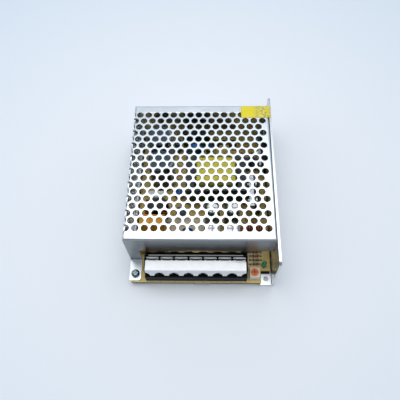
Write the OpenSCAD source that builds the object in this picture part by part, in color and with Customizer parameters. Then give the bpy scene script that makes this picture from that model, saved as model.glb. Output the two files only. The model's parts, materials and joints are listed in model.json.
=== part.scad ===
// Enclosed switching power supply: a folded chassis, a perforated folded cover, a circuit
// board with its parts, and a seven-pole screw terminal block under a clear hinged flap.
// X runs across the case, Y from the terminals to the back, Z up. The origin is at the
// middle of the footprint, on the underside of the chassis floor.

/* [Case] */
// Overall width, from the cover's side wall to the chassis's side wall
case_width = 98; // [96:1:110]
// Overall length of the chassis
case_length = 129; // [127:1:140]
// Height of the cover's top and of the chassis's side wall
case_height = 42; // [41:1:50]
// Thickness of the chassis sheet
chassis_sheet = 1.5; // [1.2:0.1:1.8]
// Thickness of the cover sheet
cover_sheet = 1; // [0.8:0.1:1.2]
// Outside radius of the folds in the cover
cover_bend = 1.6; // [1.4:0.1:2]
// Outside radius of the folds in the chassis
chassis_bend = 2; // [2:0.1:2.6]
// Clearance between the cover and the chassis walls
cover_gap = 0.2; // [0.1:0.05:0.4]
// Distance from the chassis's front edge to the cover's front lip
cover_front = 16; // [15.8:0.1:17]
// Distance from the cover's back wall to the chassis's back edge
cover_back = 8; // [7:0.5:9]
// Height of the cover's front lip
lip_height = 18.3; // [16:0.1:18.5]
// Width of the leg that carries the cover at the front
leg_width = 8; // [7:0.5:8.4]
// Height of the cover's flange inside the chassis's side wall
cover_flange = 10; // [9:0.5:12]
// Height of the chassis's low flange on the other side
chassis_flange = 11; // [10.5:0.5:12]
// Radius of the side wall's upper corners
wall_corner = 3.5; // [1:0.5:5]
// Width of the notch in the floor's front edge
floor_notch_width = 10; // [6:1:12]
// Depth of that notch
floor_notch_depth = 5; // [3:0.5:6]

/* [Perforation] */
// Spacing of the holes along a row
hole_pitch = 6; // [5.5:0.1:8]
// Diameter of the holes
hole_d = 4; // [3:0.1:4.4]
// Distance from the cover's front to its first row of holes
perforation_front = 8.1; // [7:0.1:10]
// Distance from the cover's side wall to its first column of holes
perforation_side = 1.45; // [1.4:0.05:1.5]
// Plain margin left along the other edges of the cover
perforation_margin = 6.5; // [6:0.1:9]

/* [Board] */
// Thickness of the circuit board
board_t = 1.6; // [1.2:0.1:2]
// Height of the standoffs above the chassis floor
standoff_height = 2.5; // [2.2:0.1:3.5]
// Gap between the board and the chassis or cover around it
board_gap = 0.5; // [0.4:0.1:0.8]
// Gap between the board and the side wall
wall_gap = 0.9; // [0.6:0.1:1.2]
// Width of the corner cut out of the board over the mounting hole
board_notch_width = 6.6; // [6.2:0.1:7.4]
// Depth of that corner
board_notch_depth = 8.4; // [8:0.1:8.6]
// Radius of the screws that hold the board
board_screw_r = 1.5; // [1.2:0.1:1.6]
// Radius of the heads of those screws
board_screw_head_r = 2.75; // [2.5:0.05:3]
// Thickness of the insulating sheet on the floor
insulation_t = 0.3; // [0.2:0.05:0.5]
// Radius of the mounting holes in the floor
mounting_hole_r = 1.7; // [1.6:0.1:2.2]
// Distance of the mounting holes from the chassis's front and back edges
mounting_inset = 4.25; // [4:0.05:4.5]
// Distance of the mounting holes from the walls at their side
mounting_side = 3.8; // [3.4:0.1:4]

/* [Terminal block] */
// Number of poles
poles = 7; // [5:1:7]
// Distance between neighbouring poles
pole_pitch = 9.5; // [9.3:0.05:9.5]
// Thickness of the barriers between the poles
barrier_t = 1.2; // [1:0.1:1.4]
// Depth of the block from front to back
block_depth = 15.4; // [15.2:0.1:16]
// Height of the block's base under the contacts
block_base = 7.4; // [7:0.1:7.6]
// Height of the barriers above the base
barrier_height = 7.8; // [7.7:0.1:8.2]
// Distance of the block's front from the chassis's front edge
block_front = 1.2; // [1:0.1:1.6]
// Sideways offset of the block's middle from the case's middle
block_offset = -3.6; // [-4:0.1:-3]
// Thickness of the contact plates
contact_t = 0.8; // [0.6:0.1:1]
// Thickness of the clamping plates
clamp_t = 0.9; // [0.8:0.1:1]
// Radius of the terminal screws' threads
terminal_screw_r = 1.5; // [1.3:0.1:1.6]
// Radius of their heads
terminal_head_r = 3; // [2.8:0.1:3.1]
// Height of their heads
terminal_head = 1.9; // [1.6:0.1:2]
// Radial clearance of a running fit
running_fit = 0.05; // [0.03:0.01:0.08]
// Thickness of the clear flap
flap_t = 0.8; // [0.6:0.1:0.9]
// Radius of the flap's hinge pin
flap_pin_r = 0.5; // [0.4:0.05:0.7]
// Gap between the flap and the barriers that it covers
flap_gap = 0.4; // [0.3:0.05:0.5]

/* [Corner parts] */
// Side of the trimmer's square body
trimmer_side = 6.6; // [6:0.1:6.6]
// Height of the trimmer's body above the board
trimmer_height = 5.4; // [5:0.1:6]
// Radius of the trimmer's rotor
rotor_r = 2.6; // [2.2:0.1:2.8]
// Radius of the indicator lamp
lamp_r = 1.5; // [1.2:0.1:1.6]

/* [Inner parts] */
// Diameter of the two large capacitors
bulk_d = 18; // [16:0.5:19]
// Height of the two large capacitors
bulk_height = 29; // [25:0.5:31]
// Diameter of the output capacitors
output_d = 12.5; // [10:0.5:13]
// Height of the output capacitors
output_height = 23; // [20:0.5:25]
// Width of the transformer's core
core_width = 42; // [38:0.5:42]
// Depth of the transformer's core
core_depth = 30; // [28:0.5:30]
// Height of the transformer's core
core_height = 12; // [10:0.5:13]
// Width of the transformer's winding
winding_width = 29.5; // [25:0.5:30]
// Height of the transformer's winding
winding_height = 25; // [22:0.5:26]
// Thickness of the heat sink plate
sink_t = 3; // [2:0.1:3]
// Height of the heat sink plate
sink_height = 24; // [20:0.5:26]

/* [Label] */
// Width of the sticker
label_width = 21; // [15:0.5:22]
// Depth of the sticker
label_depth = 10.3; // [8:0.1:11]
// Thickness of the sticker
label_t = 0.1; // [0.1:0.05:0.2]

/* [Hidden] */
$fn = 48;

// Overshoot of a cutter past the face that it cuts
cut = 1;

// Case
left = -case_width / 2;
right = case_width / 2;
front = -case_length / 2;
back = case_length / 2;
wall_in = right - chassis_sheet;
flange_out = left + cover_sheet + cover_gap;
flange_in = flange_out + chassis_sheet;
lip_out = front + cover_front;
back_out = back - cover_back;
cover_right = wall_in - cover_gap;
skirt = cover_gap;
back_skirt = chassis_sheet + cover_gap;
lip_bottom = case_height - lip_height;
flange_start = lip_out + 2;

// Board
// How the inner parts follow the case: their places move with it, and they shrink in a small one
fit_x = case_width / 98;
fit_y = case_length / 129;
fit = min(1, fit_x, fit_y, case_height / 42);

board_z = chassis_sheet + standoff_height;
board_top = board_z + board_t;
board_front = front + 0.3;
board_back = back_out - cover_sheet - board_gap;
board_left = flange_in + board_gap;
board_right = wall_in - wall_gap;
floor_front = front + 0.7;
floor_notch_x = 0.5 - floor_notch_width / 2;
tongue_left = left + cover_sheet + cover_gap + 0.1;
tongue_back = flange_start - board_gap;
notch_left = board_right - board_notch_width;
notch_back = board_front + board_notch_depth;
foot_top = board_top + cover_sheet;
foot_screw_at = [left + leg_width / 2 + 0.1, board_front + 5.4];
standoff_at = [
    foot_screw_at, [board_left + 4, board_back - 4], [board_right - 4, board_back - 4],
    [board_right - 4, board_front + 26.2]
];
mounting_at = [
    [wall_in - mounting_side, front + mounting_inset],
    [wall_in - mounting_side, back - mounting_inset],
    [flange_in + mounting_side, back - mounting_inset]
];
head_height = 2;
thread_gap = 0.05;
stud_depth = 3.5;

// Terminal block
block_y = front + block_front;
block_back = block_y + block_depth;
pitch = pole_pitch * min(1, fit_x);
block_width = poles * pitch + barrier_t;
base_top = board_top + block_base;
barrier_top = base_top + barrier_height;
contact_top = base_top + contact_t;
clamp_top = contact_top + clamp_t;
clamp_side = pitch - barrier_t - 1.3;
pole_y = block_y + 5.3;
hinge_y = block_y + 10.7;
hinge_z = barrier_top - 0.2;
lug_r = flap_pin_r + 0.6;
rail_y = hinge_y + lug_r + 0.7;
flap_z = barrier_top + flap_gap;
flap_top = flap_z + flap_t;
flap_front = block_y + 0.7;
flap_back = hinge_y - lug_r - 0.6;
flap_short = 1.2;
flap_width = block_width - barrier_t - 0.6;
tab_drop = 4;
arch_r = 3.4;
neck_width = pitch - barrier_t - 0.8;
collar_r = terminal_screw_r + 1;
collar_depth = 3;
well_depth = block_base - 1;
shaft_length = clamp_top - base_top + well_depth - 0.6;

// Corner parts
trimmer_at = [notch_left - trimmer_side / 2 - 1.2, board_front + 5.5];
lamp_at = [notch_left + 2.2, notch_back + 3.5];
resistor_pitch = 2.95;
resistor_at = [notch_left - 3.1, notch_back + 4.5];

// Inner parts
transformer_at = [9.6, 8.5];
transformer_z = board_top + 9;
winding_depth = 21.5;
core_leg = (core_depth - winding_depth) / 2 - 0.3;
core_centre = 9;
core_end = (core_width - winding_width) / 2 - 0.3;
bobbin_t = 1.2;
bulk_at = [[-29, 14.2], [-31, 35.6]];
output_at = [[7.4, -18.4], [21.4, -18.4], [6.6, -34.6], [20.2, -34.6]];
choke_at = [-31.5, -15.4];
choke_width = 14;
choke_leg = 3.2;
safety_at = [-34.2, -25.4];
safety_size = [17, 8.2, 16];
sink_at = [transformer_at.x + core_width / 2 + 3.4, -6.2];
sink_length = 24.4;
lip_t = 1.4;
inductor_at = [35.2, -29.8];
inductor_r = 8.5;
inductor_hole = 3.6;
inductor_t = 7;
device_size = [4.6, 10.2, 15.5];

lead_r = 0.3;
lead_hole_r = 0.6;
lead_end = board_z - 0.6;
disc_at = [[transformer_at.x - core_width / 2 - 5.5, 0.2], [-15.1, -13.6], [-10.1, -29.8]];
disc_r = 3.6;
varistor_at = [-5.8, 35];
varistor_r = 7;
thermistor_at = [-16.5, -38];
thermistor_r = 5;
resistor_reach = 3.9;
small_reach = 5;
small_resistor_at = [
    [33, 48], [33, 43.5], [33, 39], [31, 34.5], [31, 30], [8, 25.6], [-20, 26],
    [-10, -43.5], [22, -43.5], [36.2, 15], [36.2, 11]
];
small_can_at = [[-3, 28.2], [33, 25.2], [5, 38.2], [-19, 42], [29.8, -41], [38.2, 25.9]];
chip_at = [16, 45.5];
chip_size = [19, 6.4, 3.4];
chip_legs = 8;
leg_pitch = 2.54;
bridge_at = [-5, 46];
bridge_size = [20, 4.6, 16];
driver_at = [16, 33.5];
fuse_at = [-33, -40.5];
fuse_length = 20;
device_z = board_top + 7;
diode_y = [sink_at.y - 6, sink_at.y + 6.4];
diode_x = sink_at.x + sink_t / 2 + device_size.x / 2;
transistor_y = [24, 38];
pad_t = 0.3;
transistor_x = wall_in - pad_t - device_size.x / 2;
clamp_screw_at = [(transistor_y[0] + transistor_y[1]) / 2, device_z + 5];
clamp_screw_r = 1.5;

// Where leads pass through the board
function pair(at, reach) = [[at.x - reach, at.y], [at.x + reach, at.y]];
function device_leads(x, y) = [for (n = [-1 : 1]) [x, y + n * leg_pitch]];
function chip_leads() = [for (n = [0 : chip_legs - 1], side = [-1, 1])
    [chip_at.x + (n - (chip_legs - 1) / 2) * leg_pitch,
        chip_at.y + side * (chip_size.y / 2 + 0.25)]];
function lamp_legs() = [for (side = [-1, 1]) [lamp_at.x, lamp_at.y + side * leg_pitch / 2]];
function bridge_legs() = [for (n = [0 : 3]) [bridge_at.x + (n - 1.5) * 2 * leg_pitch, bridge_at.y]];
// Where points of a part drawn at `at` end up on the board
function seat(points, at) =
    [for (p = points) [at.x * fit_x, at.y * fit_y] + (p - at) * fit];
lead_points = concat(
    lamp_legs(),
    [for (n = [0 : 3]) each pair([resistor_at.x, resistor_at.y + n * resistor_pitch],
        resistor_reach)],
    [for (at = small_resistor_at) each seat(pair(at, small_reach), at)],
    [for (at = disc_at) each seat(pair(at, disc_r / 2), at)],
    seat(pair(varistor_at, varistor_r / 2), varistor_at),
    seat(pair(thermistor_at, thermistor_r / 2), thermistor_at),
    seat(bridge_legs(), bridge_at),
    [for (y = diode_y) each seat(device_leads(diode_x, y), sink_at)],
    [for (y = transistor_y) for (p = device_leads(transistor_x, y))
        [wall_in, 0] + (p - [wall_in, 0]) * fit],
    seat(chip_leads(), chip_at)
);

function pole_x(n) = block_offset + (n - (poles - 1) / 2) * pitch;
function barrier_x(n) = block_offset + (n - poles / 2) * pitch;

// A rectangle from one corner to the other, with its two upper corners rounded
module round_top(a, b, r) {
    translate(a) square([b.x - a.x, b.y - a.y - r]);
    translate([a.x + r, a.y]) square([b.x - a.x - 2 * r, b.y - a.y]);
    for (x = [a.x + r, b.x - r]) translate([x, b.y - r]) circle(r);
}

// Extrudes an outline drawn in X and Z along Y
module along_y(y0, y1) translate([0, y1, 0]) rotate([90, 0, 0]) linear_extrude(y1 - y0) children();

// Extrudes an outline drawn in Y and Z along X
module along_x(x0, x1)
    translate([x0, 0, 0]) rotate([90, 0, 90]) linear_extrude(x1 - x0) children();

// The waste outside a rounded corner whose circle is centred on the origin
module corner_waste(r) difference() {
    square(r + cut);
    circle(r);
}

// A box given by its middle in X and Y, its bottom and its size
module block_at(at, z, size)
    translate([at.x - size.x / 2, at.y - size.y / 2, z]) cube(size);

// Sets a part drawn at `at` in its place on the board, smaller in a small case
module seated(at) translate([at.x * fit_x, at.y * fit_y, board_top]) scale(fit)
    translate([-at.x, -at.y, -board_top]) children();

// Keeps the parts on the side wall against it, smaller in a small case
module on_wall() translate([wall_in, 0, board_top]) scale(fit)
    translate([-wall_in, 0, -board_top]) children();

// A cylinder from z0 to z1
module post(at, z0, z1, r) translate([at.x, at.y, z0]) cylinder(h = z1 - z0, r = r);

// The cross recess of a screw head, cut down from z
module cross_recess(at, z, r) for (a = [45, 135])
    translate([at.x, at.y, z - 0.9]) rotate(a) translate([-0.6 * r, -0.13 * r, 0])
        cube([1.2 * r, 0.26 * r, 0.9 + cut]);

// A pan head screw standing on z, with its shaft below
module pan_screw(at, z, r, head_r, head, length) difference() {
    union() {
        post(at, z - length, z + head / 2, r);
        post(at, z, z + head * 0.55, head_r);
        translate([at.x, at.y, z + head * 0.55])
            cylinder(h = head * 0.45, r1 = head_r, r2 = head_r * 0.62);
    }
    cross_recess(at, z + head, head_r);
}

// ---- Chassis ----

module chassis_profile() difference() {
    mirror([0, 1]) round_top([flange_out, -case_height], [right, 0], chassis_bend);
    mirror([0, 1]) round_top([flange_in, -case_height - cut], [wall_in, -chassis_sheet],
        chassis_bend - chassis_sheet);
    translate([flange_out - cut, chassis_flange])
        square([wall_in - flange_out, case_height]);
}

module chassis() color("gainsboro") difference() {
    along_y(front, back) chassis_profile();
    // the low flange stops behind the front leg and inside the back wall
    for (y = [[front - cut, flange_start], [back_out - cover_sheet, back + cut]])
        translate([left - cut, y[0], chassis_sheet])
            cube([flange_in - left + 2 * cut, y[1] - y[0], chassis_flange]);
    // the side wall's upper corners
    for (side = [-1, 1]) translate([wall_in - cut, side * (back - wall_corner),
            case_height - wall_corner])
        rotate([90, 0, 90]) mirror([side < 0 ? 1 : 0, 0])
            linear_extrude(chassis_sheet + 2 * cut) corner_waste(wall_corner);
    // the floor is set back under the board, beside the corner with the mounting hole
    translate([left - cut, front - cut, -cut])
        cube([notch_left - left, cut + floor_front - front, chassis_sheet + 2 * cut]);
    // notch in the front edge
    translate([floor_notch_x, front - cut, -cut])
        cube([floor_notch_width, floor_notch_depth + cut, chassis_sheet + 2 * cut]);
    for (at = mounting_at) post(at, -cut, chassis_sheet + cut, mounting_hole_r);
    for (at = standoff_at) post(at, -cut, chassis_sheet + cut, stud_r);
    on_wall() clamp_screw_hole(wall_in - cut, chassis_sheet + 1);
    for (y = cover_screw_y) {
        side_cut(flange_out, y, cover_screw_low, cover_screw_r);
        translate([right, y, cover_screw_high]) rotate([0, -90, 0]) countersink(chassis_sheet);
    }
}
stud_r = board_screw_r + 0.7;

// A round hole along X through a wall that starts at x
module side_cut(x, y, z, r) translate([x - cut / 2, y, z]) rotate([0, 90, 0])
    cylinder(h = chassis_sheet + cut, r = r);

// ---- Cover ----

cover_screw_r = 1.5;
cover_screw_head_r = 2.6;
cover_screw_low = board_top + 2.2;
cover_screw_high = case_height - cover_flange / 2 - 0.8;
cover_screw_y = [lip_out + 12, back_out - 14];

// A countersunk hole through a sheet of thickness t, from the outside at z = 0 inwards
module countersink(t) {
    translate([0, 0, -cut]) cylinder(h = t + 2 * cut, r = cover_screw_r);
    translate([0, 0, -0.001])
        cylinder(h = cover_screw_head_r - cover_screw_r, r1 = cover_screw_head_r,
            r2 = cover_screw_r);
}

row_pitch = hole_pitch * sqrt(3) / 2;
rows = floor((back_out - lip_out - perforation_front - perforation_margin) / row_pitch) + 1;
columns = floor((cover_right - left - perforation_side - perforation_margin + 3)
    / hole_pitch) + 1;
side_columns = floor((case_height - chassis_flange - hole_d) / (hole_pitch / 2));
punch_depth = cover_bend;

module top_holes() for (n = [0 : rows - 1], u = [0 : columns - 1 - (n % 2)])
    translate([left + perforation_side + (u + (n % 2) / 2) * hole_pitch,
        lip_out + perforation_front + n * row_pitch, case_height - punch_depth])
        cylinder(h = punch_depth + cut, d = hole_d);

// The staggered rows carry on down the side wall
module side_holes() for (n = [0 : rows - 1], j = [0 : 1 : side_columns - 1])
    if ((n + j) % 2 == 1)
        translate([left - cut, lip_out + perforation_front + n * row_pitch,
            case_height - (hole_pitch / 2 - perforation_side) - j * hole_pitch / 2])
            rotate([0, 90, 0]) cylinder(h = cover_sheet + cut + 0.3, d = hole_d);

module cover_box(inset, r) intersection() {
    along_y(lip_out - cut, back_out + cut) round_top([left + inset, skirt - inset],
        [cover_right - inset, case_height - inset], r);
    along_x(left - cut, cover_right + cut) round_top([lip_out + inset, skirt - inset],
        [back_out - inset, case_height - inset], r);
}

// The leg's fold and the foot in front of it, drawn in Y and Z
module foot_profile() {
    r = cover_bend - cover_sheet;
    translate([lip_out - r, foot_top + r]) intersection() {
        difference() {
            circle(cover_bend);
            circle(r);
        }
        translate([0, -cover_bend]) square(cover_bend);
    }
    translate([board_front + 0.8, board_top]) square([lip_out - r - board_front - 0.8, cover_sheet]);
}

module cover() color("lightsteelblue") difference() {
    union() {
        difference() {
            cover_box(0, cover_bend);
            cover_box(cover_sheet, cover_bend - cover_sheet);
            // below the front lip, beside the leg
            translate([left + leg_width, lip_out - cut, 0])
                cube([case_width, cover_bend + cut, lip_bottom]);
            // below the leg's fold
            translate([left - cut, lip_out - cut, 0])
                cube([leg_width + 2 * cut, cover_sheet + cut, foot_top + cover_bend - cover_sheet]);
            // below the flange inside the side wall
            translate([cover_right - cover_sheet - cut, lip_out + cover_sheet, 0])
                cube([cover_sheet + 2 * cut, back_out - lip_out - 2 * cover_sheet,
                    case_height - cover_flange]);
            // below the back wall
            translate([left - cut, back_out - cover_bend, 0])
                cube([case_width, 2 * cover_bend, back_skirt]);
        }
        along_x(left, left + leg_width) foot_profile();
    }
    // the foot's rounded corner
    translate([left + leg_width - 1.5, board_front + 0.8 + 1.5, board_top - cut])
        mirror([0, 1]) linear_extrude(cover_sheet + 2 * cut) corner_waste(1.5);
    post(foot_screw_at, board_top - cut, foot_top + cut, board_screw_r + 0.1);
    top_holes();
    side_holes();
    for (y = cover_screw_y) {
        translate([left, y, cover_screw_low]) rotate([0, 90, 0]) countersink(cover_sheet);
        side_cut(cover_right - cover_sheet, y, cover_screw_high, cover_screw_r);
    }
}

// A flat head screw whose head is flush at z = 0 and whose shaft runs inwards
module flat_screw(length) difference() {
    union() {
        cylinder(h = cover_screw_head_r - cover_screw_r, r1 = cover_screw_head_r - thread_gap,
            r2 = cover_screw_r - thread_gap);
        cylinder(h = length, r = cover_screw_r - thread_gap);
    }
    rotate([180, 0, 0]) cross_recess([0, 0], 0.02, cover_screw_head_r);
}

module cover_screws() color("silver") for (y = cover_screw_y) {
    translate([left + 0.02, y, cover_screw_low]) rotate([0, 90, 0])
        flat_screw(flange_in - left + 0.8);
    translate([right - 0.02, y, cover_screw_high]) rotate([0, -90, 0])
        flat_screw(chassis_sheet + cover_gap + cover_sheet + 1);
}

// ---- Board and its fixings ----

module foot_screw() color("silver") pan_screw(foot_screw_at, foot_top,
    board_screw_r - thread_gap, board_screw_head_r, head_height, stud_depth + cover_sheet);

module board_screws() color("silver") for (n = [1 : len(standoff_at) - 1])
    pan_screw(standoff_at[n], board_top, board_screw_r - thread_gap, board_screw_head_r,
        head_height, stud_depth);

module standoffs() color("silver") for (at = standoff_at) difference() {
    union() {
        post(at, 0, chassis_sheet + cut / 2, stud_r);
        translate([at.x, at.y, chassis_sheet]) rotate(30)
            cylinder(h = standoff_height, r = stud_r + 0.9, $fn = 6);
    }
    post(at, -cut, board_z + cut, board_screw_r);
}

module insulation_sheet() color("dimgray") translate([0, 0, chassis_sheet])
    linear_extrude(insulation_t) difference() {
        translate([board_left, floor_front])
            square([board_right - board_left, board_back - floor_front]);
        // open at the corner with the mounting hole and over the floor's notch
        translate([notch_left, front]) square([case_width, notch_back - 1.1 - front]);
        translate([floor_notch_x, front]) square([floor_notch_width, floor_notch_depth]);
        for (at = standoff_at) translate(at) circle(stud_r + 1.6);
    }

module board_outline() difference() {
    union() {
        translate([board_left, board_front])
            square([board_right - board_left, board_back - board_front]);
        translate([tongue_left, board_front])
            square([board_left - tongue_left + cut, tongue_back - board_front]);
    }
    translate([notch_left, board_front - cut])
        square([board_notch_width + cut, board_notch_depth + cut]);
}

module circuit_board() color("burlywood") translate([0, 0, board_z])
    linear_extrude(board_t) difference() {
        board_outline();
        for (at = standoff_at) translate(at) circle(board_screw_r + 0.1);
        for (at = lead_points) translate(at) circle(lead_hole_r, $fn = 16);
    }

// ---- Terminal block ----

module terminal_block() color([0.12, 0.12, 0.14]) difference() {
    union() {
        // base
        translate([block_offset - block_width / 2, block_y, board_top])
            cube([block_width, block_depth, block_base]);
        // barriers and hinge lugs
        for (n = [0 : poles]) {
            translate([barrier_x(n) - barrier_t / 2, block_y + 0.4, base_top])
                cube([barrier_t, hinge_y - lug_r - 0.8 - block_y, barrier_height]);
            translate([barrier_x(n) - barrier_t / 2, hinge_y - lug_r - 0.8, base_top])
                cube([barrier_t, 0.8 + lug_r * 2 + 0.6, hinge_z - base_top]);
            translate([barrier_x(n) - barrier_t / 2, hinge_y, hinge_z]) rotate([0, 90, 0])
                cylinder(h = barrier_t, r = lug_r);
        }
        // rail behind the hinge
        translate([block_offset - block_width / 2, rail_y, base_top])
            cube([block_width, 0.8, barrier_height - 0.6]);
        // back wall
        translate([block_offset - block_width / 2, block_back - 0.9, base_top])
            cube([block_width, 0.9, barrier_height]);
    }
    // wells for the contacts and screws
    for (n = [0 : poles - 1]) {
        post([pole_x(n), pole_y], base_top - well_depth, base_top + cut, collar_r);
        translate([pole_x(n) - 3, rail_y - 2.6, board_top - cut])
            cube([6, 1.2, block_base + 2 * cut]);
        // scallops in the back wall
        translate([pole_x(n), block_back - 2, barrier_top + 0.8]) rotate([-90, 0, 0])
            cylinder(h = 3, r = 3);
    }
    // hinge pin
    translate([block_offset - block_width / 2 - cut, hinge_y, hinge_z]) rotate([0, 90, 0])
        cylinder(h = block_width + 2 * cut, r = flap_pin_r);
}

module terminal_contacts() color("lightgray") for (n = [0 : poles - 1]) {
    difference() {
        union() {
            translate([pole_x(n) - 3.6, block_y + 1.2, base_top])
                cube([7.2, rail_y - 0.2 - block_y - 1.2, contact_t]);
            post([pole_x(n), pole_y], base_top - collar_depth, base_top + contact_t / 2,
                collar_r - thread_gap);
            // tail down to the board
            translate([pole_x(n) - 2.9, rail_y - 2.5, board_top])
                cube([5.8, 1, block_base + contact_t / 2]);
        }
        post([pole_x(n), pole_y], base_top - collar_depth - cut, contact_top + cut,
            terminal_screw_r + running_fit);
    }
}

module terminal_screw(n) color("silver") pan_screw([pole_x(n - 1), pole_y], clamp_top,
    terminal_screw_r, terminal_head_r, terminal_head, shaft_length);

module terminal_clamp(n) color("lightgray") difference() {
    block_at([pole_x(n - 1), pole_y], contact_top, [clamp_side, clamp_side, clamp_t]);
    post([pole_x(n - 1), pole_y], contact_top - cut, clamp_top + cut,
        terminal_screw_r + running_fit);
}

module flap_pin() color("silver") translate([block_offset - block_width / 2, hinge_y, hinge_z])
    rotate([0, 90, 0]) cylinder(h = block_width, r = flap_pin_r);

module terminal_flap() color([0.9, 0.95, 1, 0.5]) difference() {
    union() {
        // top plate, with its front edge bent down
        along_x(block_offset - flap_width / 2, block_offset + flap_width / 2 - flap_short)
            difference() {
                union() {
                    translate([flap_front + 1, flap_z])
                        square([flap_back - flap_front - 1, flap_t]);
                    translate([flap_front, flap_top - tab_drop])
                        square([flap_t, tab_drop - 1]);
                    translate([flap_front + 1, flap_top - 1]) circle(1);
                }
                translate([flap_front + flap_t, flap_z - tab_drop]) square([3, tab_drop]);
            }
        // necks and knuckles between the lugs
        for (n = [0 : poles - 1]) {
            for (side = [-1, 1]) translate([pole_x(n) + side * (neck_width - 1.2) / 2 - 0.6,
                    flap_back - cut, flap_z])
                cube([1.2, hinge_y - flap_back + cut, flap_t]);
            translate([pole_x(n) - neck_width / 2, hinge_y, hinge_z]) rotate([0, 90, 0])
                cylinder(h = neck_width, r = lug_r);
        }
    }
    // arches around the barriers
    for (n = [0 : poles]) translate([barrier_x(n), flap_front - cut, flap_top - tab_drop])
        rotate([-90, 0, 0]) cylinder(h = flap_t + cut, r = arch_r);
    translate([block_offset - block_width, hinge_y, hinge_z]) rotate([0, 90, 0])
        cylinder(h = 2 * block_width, r = flap_pin_r + running_fit);
}

// ---- Corner parts ----

module trimmer_body() color("white") difference() {
    union() {
        block_at(trimmer_at, board_top + 0.6, [trimmer_side, trimmer_side, trimmer_height - 0.6]);
        for (x = [-1, 1], y = [-1, 1])
            block_at([trimmer_at.x + x * (trimmer_side / 2 - 0.8),
                trimmer_at.y + y * (trimmer_side / 2 - 0.8)], board_top, [1.2, 1.2, 1]);
    }
    // seat of the rotor
    post(trimmer_at, board_top + trimmer_height - 1.6, board_top + trimmer_height + cut,
        rotor_r + running_fit);
}

module trimmer_rotor() color("orange") difference() {
    post(trimmer_at, board_top + trimmer_height - 1.6, board_top + trimmer_height + 0.5, rotor_r);
    translate([trimmer_at.x, trimmer_at.y, board_top + trimmer_height - 0.4]) for (a = [0, 90])
        rotate(a) translate([-rotor_r * 0.75, -0.3, 0]) cube([rotor_r * 1.5, 0.6, 2]);
}

module indicator_lamp() color("green") {
    flange_z = board_top + 1.8;
    difference() {
        post(lamp_at, flange_z, flange_z + 0.9, lamp_r + 0.4);
        block_at([lamp_at.x, lamp_at.y + lamp_r + 0.4], flange_z - cut, [4, 0.6, 3]);
    }
    post(lamp_at, flange_z + 0.5, flange_z + 4, lamp_r);
    translate([lamp_at.x, lamp_at.y, flange_z + 4]) sphere(r = lamp_r);
    for (at = lamp_legs()) post(at, lead_end, flange_z + 0.2, lead_r);
}

// An axial part lying along X on the board: its body, its end caps and its bent leads
module axial(at, body_r, body, reach) {
    z = board_top + body_r + 0.15;
    translate([at.x - body / 2, at.y, z]) rotate([0, 90, 0]) cylinder(h = body, r = body_r * 0.85);
    for (side = [-1, 1]) {
        translate([at.x + side * body * 0.38 - body * 0.12, at.y, z]) rotate([0, 90, 0])
            cylinder(h = body * 0.24, r = body_r);
        post([at.x + side * reach, at.y], lead_end, z, lead_r);
        translate([at.x + side * reach, at.y, z]) sphere(r = lead_r);
    }
    translate([at.x - reach, at.y, z]) rotate([0, 90, 0]) cylinder(h = 2 * reach, r = lead_r);
}

module lamp_resistors() color("sienna") for (n = [0 : 3])
    axial([resistor_at.x, resistor_at.y + n * resistor_pitch], 0.95, 4.2, resistor_reach);

// ---- Transformer ----

// The core: two end bars, two outer legs and the leg through the winding
module transformer_core() color([0.25, 0.27, 0.31]) seated(transformer_at) difference() {
    window = core_depth / 2 - core_leg - core_centre / 2;
    block_at(transformer_at, transformer_z, [core_width, core_depth, core_height]);
    for (side = [-1, 1])
        block_at([transformer_at.x, transformer_at.y + side * (core_centre + window) / 2],
            transformer_z - cut, [core_width - 2 * core_end, window, core_height + 2 * cut]);
}

module transformer_bobbin() color([0.1, 0.22, 0.17]) seated(transformer_at) {
    for (side = [-1, 1]) {
        difference() {
            translate([transformer_at.x + side * (winding_width / 2 - bobbin_t / 2)
                - bobbin_t / 2, transformer_at.y - winding_depth / 2, board_top])
                cube([bobbin_t, winding_depth, winding_height + 3]);
            block_at(transformer_at, transformer_z - 0.1,
                [core_width, core_centre + 0.2, core_height + 0.2]);
        }
        // pin rail
        translate([transformer_at.x + (side < 0 ? -core_width : winding_width - bobbin_t) / 2,
            transformer_at.y - core_depth / 2 + 1, board_top])
            cube([(core_width - winding_width + bobbin_t) / 2, core_depth - 2,
                transformer_z - board_top - 0.1]);
    }
}

module transformer_winding() color("gold") seated(transformer_at) {
    width = winding_width - 2 * bobbin_t;
    difference() {
        intersection() {
            block_at(transformer_at, board_top + 3, [width, winding_depth - 0.4, winding_height]);
            along_x(transformer_at.x - width / 2, transformer_at.x + width / 2)
                translate([transformer_at.y, board_top + 3]) rounded_slab(winding_depth - 0.4,
                    winding_height, 1.5);
        }
        block_at(transformer_at, transformer_z - 0.1,
            [core_width, core_centre + 0.2, core_height + 0.2]);
    }
}

// A rectangle with all its corners rounded, standing on its lower edge
module rounded_slab(width, height, r) {
    translate([-width / 2 + r, 0]) square([width - 2 * r, height]);
    translate([-width / 2, r]) square([width, height - 2 * r]);
    for (x = [-1, 1] * (width / 2 - r), y = [r, height - r]) translate([x, y]) circle(r);
}

// ---- Capacitors ----

// An upright electrolytic can with its crimp groove and rolled top edge
module can(at, d, height, bead) translate([at.x, at.y, board_top]) rotate_extrude() difference() {
    union() {
        square([d / 2, height - 0.8]);
        square([d / 2 - 0.8, height]);
        translate([d / 2 - 0.8, height - 0.8]) circle(0.8, $fn = 24);
    }
    translate([d / 2 + bead * 0.35, 2.6]) circle(bead, $fn = 24);
    translate([-cut, -cut]) square([cut, height + 2 * cut]);
    translate([-cut, height - 0.3]) square([d / 2 - 1, 1]);
}

module bulk_capacitor(n) color([0.13, 0.13, 0.15]) seated(bulk_at[n])
    can(bulk_at[n], bulk_d, bulk_height, 0.9);

module output_capacitors() color([0.1, 0.25, 0.2]) for (at = output_at)
    seated(at) can(at, output_d, output_height, 0.8);

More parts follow.
